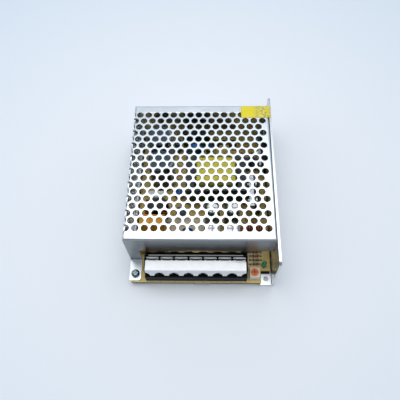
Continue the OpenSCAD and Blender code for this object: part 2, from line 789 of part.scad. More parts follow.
// A disc part standing across X on two leads
module disc(at, r, t, lift) {
    translate([at.x, at.y + t / 2, board_top + lift + r]) rotate([90, 0, 0]) cylinder(h = t, r = r);
    for (lead = pair(at, r / 2)) post(lead, lead_end, board_top + lift + r * 0.4, lead_r);
}

module disc_capacitors() color("royalblue") for (at = disc_at)
    seated(at) disc(at, disc_r, 3.2, 2);

module varistor() color("steelblue") seated(varistor_at) disc(varistor_at, varistor_r, 4.4, 1.6);

module thermistor() color("darkolivegreen") seated(thermistor_at)
    disc(thermistor_at, thermistor_r, 4, 1.6);

module safety_capacitor() color("orange") seated(safety_at) difference() {
    block_at(safety_at, board_top, safety_size);
    block_at(safety_at, board_top - cut, [safety_size.x * 0.7, safety_size.y + 2, cut + 0.8]);
}

// ---- Mains choke ----

// The ferrite ring stands across the case, with a winding on each upright leg
module choke_core() color([0.2, 0.2, 0.22]) seated(choke_at) difference() {
    block_at(choke_at, board_top + 3.2, [choke_width, 7, 17]);
    block_at(choke_at, board_top + 3.2 + choke_leg, [choke_width - 2 * choke_leg, 7 + cut,
        17 - 2 * choke_leg]);
}

module choke_bobbin() color("white") seated(choke_at) {
    block_at([choke_at.x, choke_at.y + 2.4], board_top, [choke_width + 3.4, 16, 3]);
    block_at([choke_at.x, choke_at.y + 7.6], board_top + 3, [10.6, 5, 17.4]);
}

module choke_windings() color("saddlebrown") seated(choke_at) for (side = [-1, 1]) difference() {
    block_at([choke_at.x + side * (choke_width - choke_leg) / 2, choke_at.y],
        board_top + 3.4 + choke_leg, [choke_leg + 3.2, 9.6, 16.6 - 2 * choke_leg]);
    block_at([choke_at.x + side * (choke_width - choke_leg) / 2, choke_at.y], board_top,
        [choke_leg + 0.1, 7.1, 30]);
}

// ---- Fuse ----

module fuse() color("lightcyan") seated(fuse_at) {
    translate([fuse_at.x - fuse_length / 2, fuse_at.y, board_top + 4.4]) rotate([0, 90, 0])
        cylinder(h = fuse_length, r = 2.3);
    for (x = [-fuse_length / 2, fuse_length / 2 - 5.4])
        translate([fuse_at.x + x, fuse_at.y, board_top + 4.4]) rotate([0, 90, 0])
            cylinder(h = 5.4, r = 2.6);
}

module fuse_clips() color("silver") seated(fuse_at)
    for (x = [1 - fuse_length / 2, fuse_length / 2 - 4.4]) difference() {
        block_at([fuse_at.x + x + 1.7, fuse_at.y], board_top, [3.4, 7, 6.4]);
        translate([fuse_at.x + x - cut, fuse_at.y, board_top + 4.4]) rotate([0, 90, 0])
            cylinder(h = 3.4 + 2 * cut, r = 2.6);
        block_at([fuse_at.x + x + 1.7, fuse_at.y], board_top + 4.4, [6, 4.2, 6]);
    }

// ---- Inductor ----

module inductor_core() color("goldenrod") seated(inductor_at)
    translate([inductor_at.x, inductor_at.y + inductor_t / 2 - 1,
    board_top + inductor_r + 0.3]) rotate([90, 0, 0]) difference() {
        cylinder(h = inductor_t - 2, r = inductor_r - 1.2);
        translate([0, 0, -cut]) cylinder(h = inductor_t, r = inductor_hole + 1.2);
    }

// Turns of heavy wire around the ring, each one a rounded loop
module inductor_winding() color("peru") seated(inductor_at) translate([inductor_at.x, inductor_at.y,
    board_top + inductor_r + 0.3]) rotate([90, 0, 0]) for (n = [0 : 13]) rotate(-60 + n * 300 / 13)
        translate([(inductor_r + inductor_hole) / 2, 0, 0]) rotate([90, 0, 0])
            translate([0, 0, -0.65]) linear_extrude(1.3) difference() {
                square([inductor_r - inductor_hole, inductor_t], center = true);
                square([inductor_r - inductor_hole - 2.3, inductor_t - 1.9], center = true);
            }

// ---- Power devices ----

// A device with its metal tab at one side, standing on three leads; facing is the side of the tab
module device(at, z, facing) {
    translate([at.x - device_size.x / 2, at.y - device_size.y / 2, z]) cube([device_size.x,
        device_size.y, device_size.z * 0.6]);
    translate([facing > 0 ? at.x + device_size.x / 2 - 1.3 : at.x - device_size.x / 2,
        at.y - device_size.y / 2, z]) cube([1.3, device_size.y, device_size.z]);
    for (lead = device_leads(at.x, at.y)) block_at(lead, lead_end, [0.6, 0.8, z - lead_end + 0.1]);
}

module device_hole(x, y, length) translate([x, y, device_z + device_size.z - 3]) rotate([0, 90, 0])
    cylinder(h = length, r = 1.5);

module heat_sink() color("lightsteelblue") seated(sink_at) difference() {
    union() {
        block_at(sink_at, board_top, [sink_t, sink_length, sink_height]);
        for (side = [-1, 1]) block_at([sink_at.x - sink_t / 2 - 0.6,
            sink_at.y + side * (sink_length - lip_t) / 2], board_top, [2, lip_t, sink_height]);
    }
    for (y = diode_y) device_hole(sink_at.x - 5, y, 12);
}

module rectifier_diodes() color([0.12, 0.12, 0.13]) seated(sink_at) difference() {
    for (y = diode_y) device([diode_x, y], device_z, -1);
    for (y = diode_y) device_hole(sink_at.x - 2, y, 12);
}

module power_transistors() color([0.12, 0.12, 0.13]) on_wall()
    for (y = transistor_y) device([transistor_x, y], device_z, 1);

module insulating_pad() color("lightpink") on_wall() difference() {
    translate([wall_in - pad_t, transistor_y[0] - 7, device_z - 1])
        cube([pad_t, transistor_y[1] - transistor_y[0] + 14, 18]);
    clamp_screw_hole(transistor_x, 8);
}

module clamp_bar() color("silver") on_wall() difference() {
    translate([transistor_x - device_size.x / 2 - 1.6, transistor_y[0] - 5, device_z + 2])
        cube([1.6, transistor_y[1] - transistor_y[0] + 10, 6]);
    clamp_screw_hole(transistor_x - 6, 8);
}

// The clamp bar's screw passes between the two transistors into the side wall
module clamp_screw_hole(x, length) translate([x, clamp_screw_at[0], clamp_screw_at[1]])
    rotate([0, 90, 0]) cylinder(h = length, r = clamp_screw_r);

// A pan head screw lying along X, with its head at x and its shaft towards facing
module side_screw(x, y, z, facing, length) translate([x, y, z]) rotate([0, facing > 0 ? -90 : 90, 0])
    pan_screw([0, 0], 0, clamp_screw_r - thread_gap, board_screw_head_r, head_height, length);

module device_screws() color("silver") {
    seated(sink_at) for (y = diode_y) side_screw(diode_x - device_size.x / 2 + 1.3, y,
        device_z + device_size.z - 3, -1, 1.3 + sink_t + 1);
    on_wall() side_screw(transistor_x - device_size.x / 2 - 1.6, clamp_screw_at[0], clamp_screw_at[1], 1,
        1.6 + device_size.x + pad_t + chassis_sheet - 0.2);
}

// ---- Small parts ----

// A moulded body with a row of legs down each long side
module controller_chip() color([0.12, 0.12, 0.13]) seated(chip_at) {
    block_at(chip_at, board_top + 0.6, chip_size);
    for (leg = chip_leads()) block_at(leg, lead_end, [0.6, 0.6, board_top + 2 - lead_end]);
}

module bridge_rectifier() color([0.14, 0.14, 0.15]) seated(bridge_at) {
    block_at(bridge_at, board_top + 3, bridge_size);
    for (leg = bridge_legs()) block_at(leg, lead_end, [0.8, 0.6, board_top + 3.2 - lead_end]);
}

module driver_transformer() color("darkkhaki") seated(driver_at) {
    block_at(driver_at, board_top, [13, 12, 3]);
    block_at(driver_at, board_top + 3, [12, 5.6, 9.6]);
    block_at(driver_at, board_top + 4.4, [7, 11, 7]);
}

module small_resistors() color("tan") for (at = small_resistor_at) seated(at)
    axial(at, 1.15, 6, small_reach);

module small_capacitors() color([0.15, 0.17, 0.3]) for (at = small_can_at) seated(at)
    can(at, 5.6, 11, 0.5);

module label() color("yellow") translate([right - label_width - 0.4,
    back_out - 1 - label_depth, case_height]) cube([label_width, label_depth, label_t]);

chassis();
cover();
cover_screws();
foot_screw();
insulation_sheet();
standoffs();
board_screws();
circuit_board();
terminal_block();
terminal_contacts();
terminal_screw(1);  // terminal_screw_1
terminal_screw(2);  // terminal_screw_2
terminal_screw(3);  // terminal_screw_3
terminal_screw(4);  // terminal_screw_4
terminal_screw(5);  // terminal_screw_5
terminal_screw(6);  // terminal_screw_6
terminal_screw(7);  // terminal_screw_7
terminal_clamp(1);  // terminal_clamp_1
terminal_clamp(2);  // terminal_clamp_2
terminal_clamp(3);  // terminal_clamp_3
terminal_clamp(4);  // terminal_clamp_4
terminal_clamp(5);  // terminal_clamp_5
terminal_clamp(6);  // terminal_clamp_6
terminal_clamp(7);  // terminal_clamp_7
terminal_flap();
flap_pin();
trimmer_body();
trimmer_rotor();
indicator_lamp();
lamp_resistors();
transformer_core();
transformer_bobbin();
transformer_winding();
bulk_capacitor(0);  // bulk_capacitor_1
bulk_capacitor(1);  // bulk_capacitor_2
choke_core();
choke_bobbin();
choke_windings();
safety_capacitor();
disc_capacitors();
varistor();
fuse();
fuse_clips();
thermistor();
bridge_rectifier();
output_capacitors();
inductor_core();
inductor_winding();
heat_sink();
rectifier_diodes();
power_transistors();
clamp_bar();
insulating_pad();
device_screws();
controller_chip();
driver_transformer();
small_resistors();
small_capacitors();
label();
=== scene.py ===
"""Finishes and fine pieces for a mesh case switching power supply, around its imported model.

It is laid out as a Blender add-on and run as a script: each operator makes or finishes one
group of pieces, and main() calls them in order. Patterns are worked out in millimetres from
Object coordinates, so they stay on their pieces when these move.
"""

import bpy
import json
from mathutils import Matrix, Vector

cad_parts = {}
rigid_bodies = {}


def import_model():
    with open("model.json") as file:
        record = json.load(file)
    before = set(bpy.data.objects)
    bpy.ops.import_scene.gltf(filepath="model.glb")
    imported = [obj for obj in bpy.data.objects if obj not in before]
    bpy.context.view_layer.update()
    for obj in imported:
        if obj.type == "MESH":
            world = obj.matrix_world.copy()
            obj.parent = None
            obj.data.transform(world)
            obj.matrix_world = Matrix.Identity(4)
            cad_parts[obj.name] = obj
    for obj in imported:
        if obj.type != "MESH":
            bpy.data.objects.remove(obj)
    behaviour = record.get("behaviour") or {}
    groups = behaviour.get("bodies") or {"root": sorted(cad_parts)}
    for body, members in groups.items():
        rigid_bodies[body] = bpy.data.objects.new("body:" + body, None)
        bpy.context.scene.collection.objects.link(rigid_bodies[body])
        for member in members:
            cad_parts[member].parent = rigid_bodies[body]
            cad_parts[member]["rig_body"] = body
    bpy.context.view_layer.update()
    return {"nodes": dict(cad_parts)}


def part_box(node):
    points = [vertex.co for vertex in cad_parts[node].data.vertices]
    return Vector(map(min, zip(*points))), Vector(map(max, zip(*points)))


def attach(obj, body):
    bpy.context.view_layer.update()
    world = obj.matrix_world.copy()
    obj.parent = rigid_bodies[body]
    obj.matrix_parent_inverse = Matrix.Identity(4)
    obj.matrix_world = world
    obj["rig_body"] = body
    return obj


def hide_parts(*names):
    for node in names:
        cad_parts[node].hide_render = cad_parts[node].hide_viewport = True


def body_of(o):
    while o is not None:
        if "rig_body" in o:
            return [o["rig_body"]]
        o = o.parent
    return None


bl_info = {
    "name": "Mesh case power supply",
    "version": (1, 0, 0),
    "blender": (4, 5, 0),
    "location": "View3D > Sidebar > Power supply",
    "description": "Finishes and fine pieces for a mesh case switching power supply",
    "category": "Object",
}

import json
import math

import bmesh
import bpy
import numpy as np
from bpy.props import FloatProperty, FloatVectorProperty, IntProperty, PointerProperty
from mathutils import Matrix, Vector

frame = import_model()
NODES = frame["nodes"]
POLES = sum(name.startswith("terminal_clamp_") for name in NODES)

# Lengths are in millimetres; MM turns them into metres.
MM = 0.001
# How near a point lies to a face, a rim or an edge that it belongs to
NEAR, RIM_NEAR, EDGE_NEAR = 0.02, 0.015, 0.01
# First hole of the top (x, y) and of the side wall (z, y), pitch and row distance, ends of
# the even and odd rows (x, and z with its sign turned), and the last row's rim
HOLE_START, SIDE_START = (-47.55, -40.4), (37.45, -40.4)
HOLE_PITCH, HOLE_ROW = 6.0, 5.196
HOLE_ENDS, SIDE_ENDS, LAST_RIM = (44.9, 41.9), (-16.45, -13.45), 50.53
# Hole radius, packed and shown, and the cover's side, top and foot
PACKED_HOLE, HOLE_RADIUS = 2.0, 2.35
COVER_SIDE, COVER_TOP, FOOT_TOP = -49, 42, 6.7
# Middles and diameters of the output cans, packed and shown
PACKED_CANS = ((7.4, -18.4), (21.4, -18.4), (6.6, -34.6), (20.2, -34.6))
OUTPUT_CANS = ((7.2, -19.4), (21.0, -19.4), (7.2, -34.4), (20.4, -34.4))
PACKED_CAN, OUTPUT_CAN = 12.5, 10.6
# Terminals: pitch, first barrier, top of the base, and how far barriers and contacts go back
POLE_PITCH, FIRST_BARRIER, BASE_TOP = 9.5, -36.85, 9.9
BARRIER_BACK, CONTACT_BACK = 1.8, 1.6
# Flap: radius of the arches, how much lower the tab ends and how far it leans out, and how
# much wider and shorter the plate is
ARCH_RADIUS, TAB_EXTRA, TAB_LEAN, PLATE_WIDER, PLATE_SHORTER = 3.4, 1.6, 1.2, 1.0, 0.35
# Extra thickness of the core stack, radius of a resistor, half a choke coil's width, and the
# height of the trimmer rotor's slot, below which the rotor has painted shade
CORE_EXTRA, RESISTOR_RADIUS, COIL_HALF, ROTOR_SLOT = 3.5, 0.95, 3.2, 11.3
# The camera's place and directions, the lamps, the floor with its painted falloff, and the even
# light
CAMERA_AT = (7.09, -153.61, 300.46)
CAMERA_AHEAD, CAMERA_RIGHT = (-0.02719, 0.45739, -0.88885), (0.99963, 0.01391, -0.02343)
LAMPS = (("softbox", (-40, 250, 900), (900, 480), 0.92),
         ("overhead", (30, -110, 1100), (600, 600), 0.62),
         ("fill", (-700, -200, 700), (600, 600), 0.2))
FLOOR_SIZE, FLOOR_DROP, FAR_FLOOR = 4000, 0.05, (0.8, 0.88, 0.95)
SKY_TINT = (0.84, 0.92, 1.0)


def box_mm(node):
    """Lowest corner, highest corner and middle of a CAD node, in millimetres."""
    low, high = (np.array(corner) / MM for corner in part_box(node))
    return low, high, (low + high) / 2


def chip(red, green, blue):
    """Linear colour of a paint chip that is given in screen values from 0 to 255."""
    screen = np.array([red, green, blue]) / 255
    linear = np.where(screen <= 0.04045, screen / 12.92, ((screen + 0.055) / 1.055) ** 2.4)
    return tuple(round(float(value), 4) for value in linear)


def shade(tint, factor):
    """A colour factor times as light, at most white."""
    return tuple(min(1, factor * part) for part in tint)


# ---- Sizes and colours that a user may change ----


def colour(name, description, red, green, blue):
    """A colour property with a paint chip as its default."""
    return FloatVectorProperty(name=name, description=description, subtype="COLOR", size=3,
                               min=0, max=1, default=chip(red, green, blue))


def share(name, description, default):
    """A property from 0 to 1."""
    return FloatProperty(name=name, description=description, subtype="FACTOR", min=0, max=1,
                         default=default)


def length(name, description, default_mm):
    """A length property, in metres with its default given in millimetres."""
    return FloatProperty(name=name, description=description, unit="LENGTH", min=0,
                         default=default_mm * MM, precision=5)


class CaseSettings(bpy.types.PropertyGroup):
    """Sheets of the case, its screws and the sticker."""

    cover: colour("Cover", "Zinc plated sheet of the perforated cover", 224, 231, 237)
    chassis: colour("Chassis", "Rolled aluminium of the floor and side wall", 214, 217, 220)
    roughness: share("Roughness", "Mean roughness of the sheets", 0.33)
    steel: colour("Screws", "Nickel plated screws", 205, 207, 207)
    # Painted shade: the screw in the foot is a darker copy of the plated screws
    foot_screw: colour("Foot screw", "Passivated screw in the foot", 128, 142, 148)
    sticker: colour("Sticker", "Coated yellow paper", 238, 222, 20)
    crease: length("Crease", "Height of the creases in the sticker", 0.34)


class BoardSettings(bpy.types.PropertyGroup):
    """Circuit board and the small parts at its open corner."""

    laminate: colour("Laminate", "Paper laminate of the board", 238, 205, 122)
    ink: colour("Legend ink", "Printed outlines on the board", 232, 226, 205)
    rotor: colour("Trimmer rotor", "Rotor of the voltage trimmer", 240, 112, 8)
    lamp: colour("Lamp", "Tinted lens of the indicator lamp", 0, 172, 92)
    resistor: colour("Resistor", "Lacquer of the small resistors", 142, 92, 62)


class TerminalSettings(bpy.types.PropertyGroup):
    """Terminal block and its hinged flap."""

    block: colour("Block", "Moulded block", 8, 11, 16)
    flap: colour("Flap", "Milky clear flap", 250, 252, 255)
    clearness: share("Clearness", "Share of light that goes through the flap", 0.05)
    # Colour of the pale strip that stands for a painted highlight along the rail's top
    strip: colour("Marker strip", "Pale strip on the rail behind the flap", 196, 196, 190)


class WindingSettings(bpy.types.PropertyGroup):
    """Wound parts, tapes and capacitors."""

    copper: colour("Enamel", "Enamelled copper wire", 168, 84, 38)
    tape: colour("Tape", "Polyester tape of the transformer", 248, 232, 82)
    ferrite: colour("Ferrite", "Sintered core", 72, 76, 84)
    sleeve: colour("Sleeve", "Shrink sleeve of the output capacitors", 18, 58, 48)
    film_box: colour("Film box", "Case of the safety capacitor", 250, 168, 0)
    turns: IntProperty(name="Choke turns", description="Turns on each leg of the choke",
                       min=4, max=40, default=16)


class StageSettings(bpy.types.PropertyGroup):
    """Floor, lamps and camera."""

    floor: colour("Floor", "Plain pale floor", 243, 247, 253)
    lamp_power: FloatProperty(name="Softbox power", description="Power of the softbox",
                              unit="POWER", min=0, default=3.2)
    sky: FloatProperty(name="Sky", description="Strength of the even light", min=0, default=0.66)
    lens: FloatProperty(name="Lens", description="Focal length on a 36 mm sensor",
                        subtype="DISTANCE_CAMERA", min=1, default=40.517)


SETTINGS = {"supply_case": CaseSettings, "supply_board": BoardSettings,
            "supply_terminals": TerminalSettings, "supply_windings": WindingSettings,
            "supply_stage": StageSettings}


# ---- Shader maths ----


def sum_like(operation, reflected=False):
    """An operator of Wire that adds one Math node."""
    def apply(self, other=0.0):
        pair = (other, self) if reflected else (self, other)
        return self.paint.calc(operation, *pair)
    return apply


class Wire:
    """An output socket of a material; arithmetic on wires adds Math nodes."""

    def __init__(self, paint, socket):
        self.paint, self.socket = paint, socket

    def other(self, name):
        """Another output of the same node."""
        return Wire(self.paint, self.socket.node.outputs[name])

    __add__, __radd__ = sum_like("ADD"), sum_like("ADD", True)
    __sub__, __rsub__ = sum_like("SUBTRACT"), sum_like("SUBTRACT", True)
    __mul__, __rmul__ = sum_like("MULTIPLY"), sum_like("MULTIPLY", True)
    __truediv__, __rtruediv__ = sum_like("DIVIDE"), sum_like("DIVIDE", True)
    __gt__, __lt__, __abs__ = map(sum_like, ("GREATER_THAN", "LESS_THAN", "ABSOLUTE"))
    low, high, sin, fract, root = map(sum_like, ("MINIMUM", "MAXIMUM", "SINE", "FRACT", "SQRT"))

    def wrap(self, pitch):
        """Signed distance to the nearest multiple of pitch."""
        return ((self / pitch + 0.5).fract() - 0.5) * pitch

    def rise(self, start, end):
        """Smooth step: 0 before start, 1 after end."""
        return self.paint.node("MapRange", {"interpolation_type": "SMOOTHSTEP"},
                               {"Value": self, "From Min": start, "From Max": end})

    def within(self, low, high, soft=0.05):
        """1 between low and high, with soft edges."""
        return self.rise(low - soft, low + soft) * (1 - self.rise(high - soft, high + soft))


class Paint:
    """A material in the making, with its place in millimetres as x, y and z."""

    def __init__(self, name):
        self.material = bpy.data.materials.new(name)
        self.material.use_nodes = True
        self.tree = self.material.node_tree
        self.shader = self.tree.nodes["Principled BSDF"]
        place = self.node("TexCoord").other("Object")
        self.spot = self.node("VectorMath", {"operation": "SCALE"},
                              {"Vector": place, "Scale": 1 / MM})
        self.x = self.node("SeparateXYZ", {}, {"Vector": self.spot})
        self.y, self.z = self.x.other("Y"), self.x.other("Z")

    def plug(self, socket, value):
        """Links a wire to a socket, or sets its value; a colour of three gets its alpha."""
        if isinstance(value, Wire):
            self.tree.links.new(value.socket, socket)
        elif hasattr(value, "__len__") and socket.type == "RGBA":
            socket.default_value = (*tuple(value)[:3], 1)
        else:
            socket.default_value = value

    def node(self, kind, settings=None, sockets=None):
        """Adds a shader node, sets it, plugs its sockets, and gives its first output."""
        made = self.tree.nodes.new("ShaderNode" + kind)
        for key, value in (settings or {}).items():
            setattr(made, key, value)
        for key, value in (sockets or {}).items():
            self.plug(made.inputs[key], value)
        return Wire(self, made.outputs[0])

    def calc(self, operation, first, second=0.0):
        """One Math node."""
        return self.node("Math", {"operation": operation}, {0: first, 1: second})

    def mix(self, first, second, factor):
        """Mixes two colours; factor is a number or a wire."""
        made = self.node("Mix", {"data_type": "RGBA", "clamp_factor": True},
                         {0: factor, 6: first, 7: second})
        return Wire(self, made.socket.node.outputs[2])

    def scaled(self, size, stretch):
        """The place in units of size millimetres, longer where stretched."""
        return self.node("VectorMath", {"operation": "MULTIPLY"},
                         {0: self.spot, 1: tuple(1 / (size * s) for s in stretch)})

    def noise(self, size, detail=2.0, rough=0.5, stretch=(1, 1, 1), shift=0.0):
        """Noise from 0 to 1 whose blobs are about size millimetres, longer where stretched."""
        scaled = self.scaled(size, stretch)
        if shift:
            scaled = self.node("VectorMath", {"operation": "ADD"}, {0: scaled, 1: (shift,) * 3})
        return self.node("TexNoise", {}, {"Vector": scaled, "Scale": 1.0, "Detail": detail,
                                          "Roughness": rough})

    def cell_edges(self, size, stretch):
        """Distance to the borders of irregular cells, about size millimetres wide."""
        return self.node("TexVoronoi", {"feature": "DISTANCE_TO_EDGE"},
                         {"Vector": self.scaled(size, stretch), "Scale": 1.0})

    def reach(self, *parts):
        """Length of a vector with these parts."""
        total = parts[0] * parts[0]
        for part in parts[1:]:
            total = total + part * part
        return total.root()

    def finish(self, base, roughness, height=None, depth=0.05, **sockets):
        """Plugs the shader: base, roughness, a bump of depth millimetres, and fixed sockets."""
        self.plug(self.shader.inputs["Base Color"], base)
        self.plug(self.shader.inputs["Roughness"], roughness)
        if height is not None:
            self.plug(self.shader.inputs["Normal"], self.node(
                "Bump", {}, {"Height": height, "Distance": depth * MM, "Strength": 1.0}))
        for key, value in sockets.items():
            self.plug(self.shader.inputs[key.replace("_", " ")], value)
        return self.material


# ---- Surfaces ----


def sheet(rule, across, along):
    """An open surface: rule(u, v) gives x, y and z in millimetres over a grid of u and v from
    0 to 1. Gives points, quads and triangles."""
    u, v = np.meshgrid(np.linspace(0, 1, across), np.linspace(0, 1, along), indexing="ij")
    points = np.stack(np.broadcast_arrays(*rule(u, v)), -1)
    return woven(points, False, False)


def woven(points, closed, capped):
    """Quads between the neighbours of a grid of points; closed joins the last column to the
    first, and capped fans the first and last rows to their middles."""
    rows, columns = points.shape[:2]
    number = np.arange(rows * columns).reshape(rows, columns)
    if closed:
        number = np.hstack([number, number[:, :1]])
    quads = np.stack([number[:-1, :-1], number[1:, :-1], number[1:, 1:], number[:-1, 1:]],
                     -1).reshape(-1, 4)
    flat, fans = points.reshape(-1, 3), np.zeros((0, 3), int)
    if capped:
        ends = np.stack([points[0].mean(0), points[-1].mean(0)])
        first, last, total = number[0], number[-1], len(flat)
        fans = np.concatenate([
            np.stack([np.full(columns, total), first[:-1], first[1:]], -1),
            np.stack([np.full(columns, total + 1), last[1:], last[:-1]], -1)])
        flat = np.concatenate([flat, ends])
    return flat, quads, fans


def turned(profile, middle, segments):
    """A turned shape that lies along X: the profile's pairs of radius r and height h, carried
    round the X line through middle: x = h, y = r cos a, z = r sin a."""
    radius, height = np.array(profile, float).T
    angle = np.linspace(0, 2 * math.pi, segments, endpoint=False)
    points = np.stack(np.broadcast_arrays(height[:, None], radius[:, None] * np.cos(angle),
                                          radius[:, None] * np.sin(angle)), -1)
    return woven(points + np.array(middle), True, True)


def rounded(angle, half_wide, half_tall, squareness=0.5):
    """A rounded rectangle: each coordinate is its half size times the cosine or sine, raised to
    squareness with its sign kept."""
    wide, tall = np.cos(angle), np.sin(angle)
    return (half_wide * np.sign(wide) * abs(wide) ** squareness,
            half_tall * np.sign(tall) * abs(tall) ** squareness)


def hill(distance, width):
    """A smooth ridge 1 high: exp(-(distance / width) squared)."""
    return np.exp(-(distance / width) ** 2)


def tube(path, radius, side, around):
    """A round wire: at each point p of the path a circle stands square to the path, as
    p + radius (cos a first + sin a second), with first towards side."""
    path = np.array(path, float)
    ahead = np.gradient(path, axis=0)
    ahead /= np.linalg.norm(ahead, axis=1, keepdims=True)
    side = np.broadcast_to(np.array(side, float), path.shape)
    first = side - (side * ahead).sum(1, keepdims=True) * ahead
    first /= np.linalg.norm(first, axis=1, keepdims=True)
    second = np.cross(ahead, first)
    angle = np.linspace(0, 2 * math.pi, around, endpoint=False)[:, None]
    points = path[:, None] + radius * (np.cos(angle) * first[:, None]
                                       + np.sin(angle) * second[:, None])
    return woven(points, True, True)


def skin_object(name, skins, material=None):
    """One object out of several surfaces, at the origin and in metres."""
    points, faces, total = [], [], 0
    for flat, quads, fans in skins:
        points.append(flat * MM)
        faces += (quads + total).tolist() + (fans + total).tolist()
        total += len(flat)
    mesh = bpy.data.meshes.new(name)
    mesh.from_pydata(np.concatenate(points).tolist(), [], faces)
    mesh.polygons.foreach_set("use_smooth", [True] * len(faces))
    mesh.update()
    made = bpy.data.objects.new(name, mesh)
    bpy.context.scene.collection.objects.link(made)
    if material:
        mesh.materials.append(material)
    return made


# ---- Finishes ----


def reshaped(name, node, rule, material):
    """A copy of a CAD node's mesh that stands for it: its corners are merged, then moved by
    rule, which takes and gives an array of points in millimetres."""
    source, work = NODES[node], bmesh.new()
    work.from_mesh(source.data)
    bmesh.ops.remove_doubles(work, verts=work.verts, dist=1e-6)
    points = np.array([corner.co for corner in work.verts]) / MM
    for corner, place in zip(work.verts, rule(points.T.copy()).T):
        corner.co = place * MM
    work.normal_update()
    mesh = bpy.data.meshes.new(name)
    work.to_mesh(mesh)
    work.free()
    mesh.shade_smooth()
    mesh.set_sharp_from_angle(angle=math.radians(32))
    mesh.materials.append(material)
    piece = bpy.data.objects.new(name, mesh)
    bpy.context.scene.collection.objects.link(piece)
    level = piece.modifiers.new("flat_faces", "WEIGHTED_NORMAL")
    level.keep_sharp, level.weight = True, 100
    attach(piece, body_of(source)[0])
    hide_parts(node)


def widen_holes(points):
    """Rims of the punched holes moved out to HOLE_RADIUS: a point that lies PACKED_HOLE from
    the middle of the nearest hole of the top, or of the side wall, goes straight outwards."""
    x, y, z = points
    on_top, on_side = z > COVER_TOP - 4, x < COVER_SIDE + 1.1
    for across, start, near in ((x, HOLE_START, on_top), (z, SIDE_START, on_side)):
        for shift in (0, 1):
            u = (across - start[0] - (shift - 1) * HOLE_PITCH / 2) % HOLE_PITCH - HOLE_PITCH / 2
            v = (y - start[1] - (shift - 1) * HOLE_ROW) % (2 * HOLE_ROW) - HOLE_ROW
            rim = near & (abs(np.hypot(u, v) - PACKED_HOLE) < RIM_NEAR)
            grow = rim * (HOLE_RADIUS / PACKED_HOLE - 1)
            across += grow * u
            y += grow * v
    x[:] = np.maximum(x, COVER_SIDE)
    z[:] = np.minimum(z, COVER_TOP)
    return points


def lengthen_flap(points):
    """The flap's tab drawn down to its full length and leaning out: its lower edge and the
    arches go down, the arches a little smaller round their own middles, and what is below the
    fold goes forward in proportion to its depth. The plate ends further right and further in
    front of the hinge."""
    low, high, _ = box_mm("terminal_flap")
    x, y, z = points
    middle = FIRST_BARRIER + POLE_PITCH * np.round((x - FIRST_BARRIER) / POLE_PITCH)
    tab, fold, depth, smaller = y < low[1] + 2.1, high[2] - 1, 4.6, 0.97
    plate_right, plate_back = high[0] - 0.5, low[1] + 8.3
    arch = tab & (abs(np.hypot(x - middle, z - low[2]) - ARCH_RADIUS) < NEAR)
    lower = arch | (abs(z - low[2]) < EDGE_NEAR)
    end = abs(x - plate_right) < NEAR
    z[:] = np.where(lower, low[2] - TAB_EXTRA + (z - low[2]) * smaller, z)
    x[:] = np.where(arch, middle + (x - middle) * smaller, x)
    y += tab * TAB_LEAN / 2 - tab * TAB_LEAN * np.clip((fold - z) / depth, 0, 1)
    y -= PLATE_SHORTER * (abs(y - plate_back) < NEAR)
    x += PLATE_WIDER * end
    return points


def draw_back(front, distance):
    """A rule that moves the points above the base on the plane y = front back by distance."""
    def rule(points):
        points[1] += distance * (abs(points[1] - front) < NEAR) * (points[2] > BASE_TOP)
        return points
    return rule


def thicken_core(points):
    """The core's stack made thicker by CORE_EXTRA, evenly about its middle height."""
    low, high, middle = box_mm("transformer_core")
    points[2] = middle[2] + (points[2] - middle[2]) * (1 + CORE_EXTRA / (high[2] - low[2]))
    return points


def slim_cans(points):
    """Each can drawn in round its own axis to the diameter OUTPUT_CAN, and moved to its place
    in OUTPUT_CANS."""
    axes, places = np.array(PACKED_CANS), np.array(OUTPUT_CANS)
    flat = points[:2].T
    nearest = np.argmin(((flat[:, None] - axes) ** 2).sum(-1), 1)
    points[:2] = (places[nearest] + (flat - axes[nearest]) * OUTPUT_CAN / PACKED_CAN).T
    return points


def dress(material, *nodes):
    """Gives CAD nodes one material."""
    for node in nodes:
        NODES[node].data.materials.clear()
        NODES[node].data.materials.append(material)


def off_holes(u, v, start, ends, rim):
    """0 inside the staggered holes and 1 from rim millimetres outside them. The distance is
    the smaller one of the even rows' lattice and the odd rows' lattice, each up to its end."""
    lattices = [u.paint.reach((u - start[0] - shift * HOLE_PITCH / 2).wrap(HOLE_PITCH),
                              (v - start[1] - shift * HOLE_ROW).wrap(2 * HOLE_ROW))
                + (u > ends[shift]) * HOLE_PITCH for shift in (0, 1)]
    return lattices[0].low(lattices[1]).rise(HOLE_RADIUS, HOLE_RADIUS + rim)


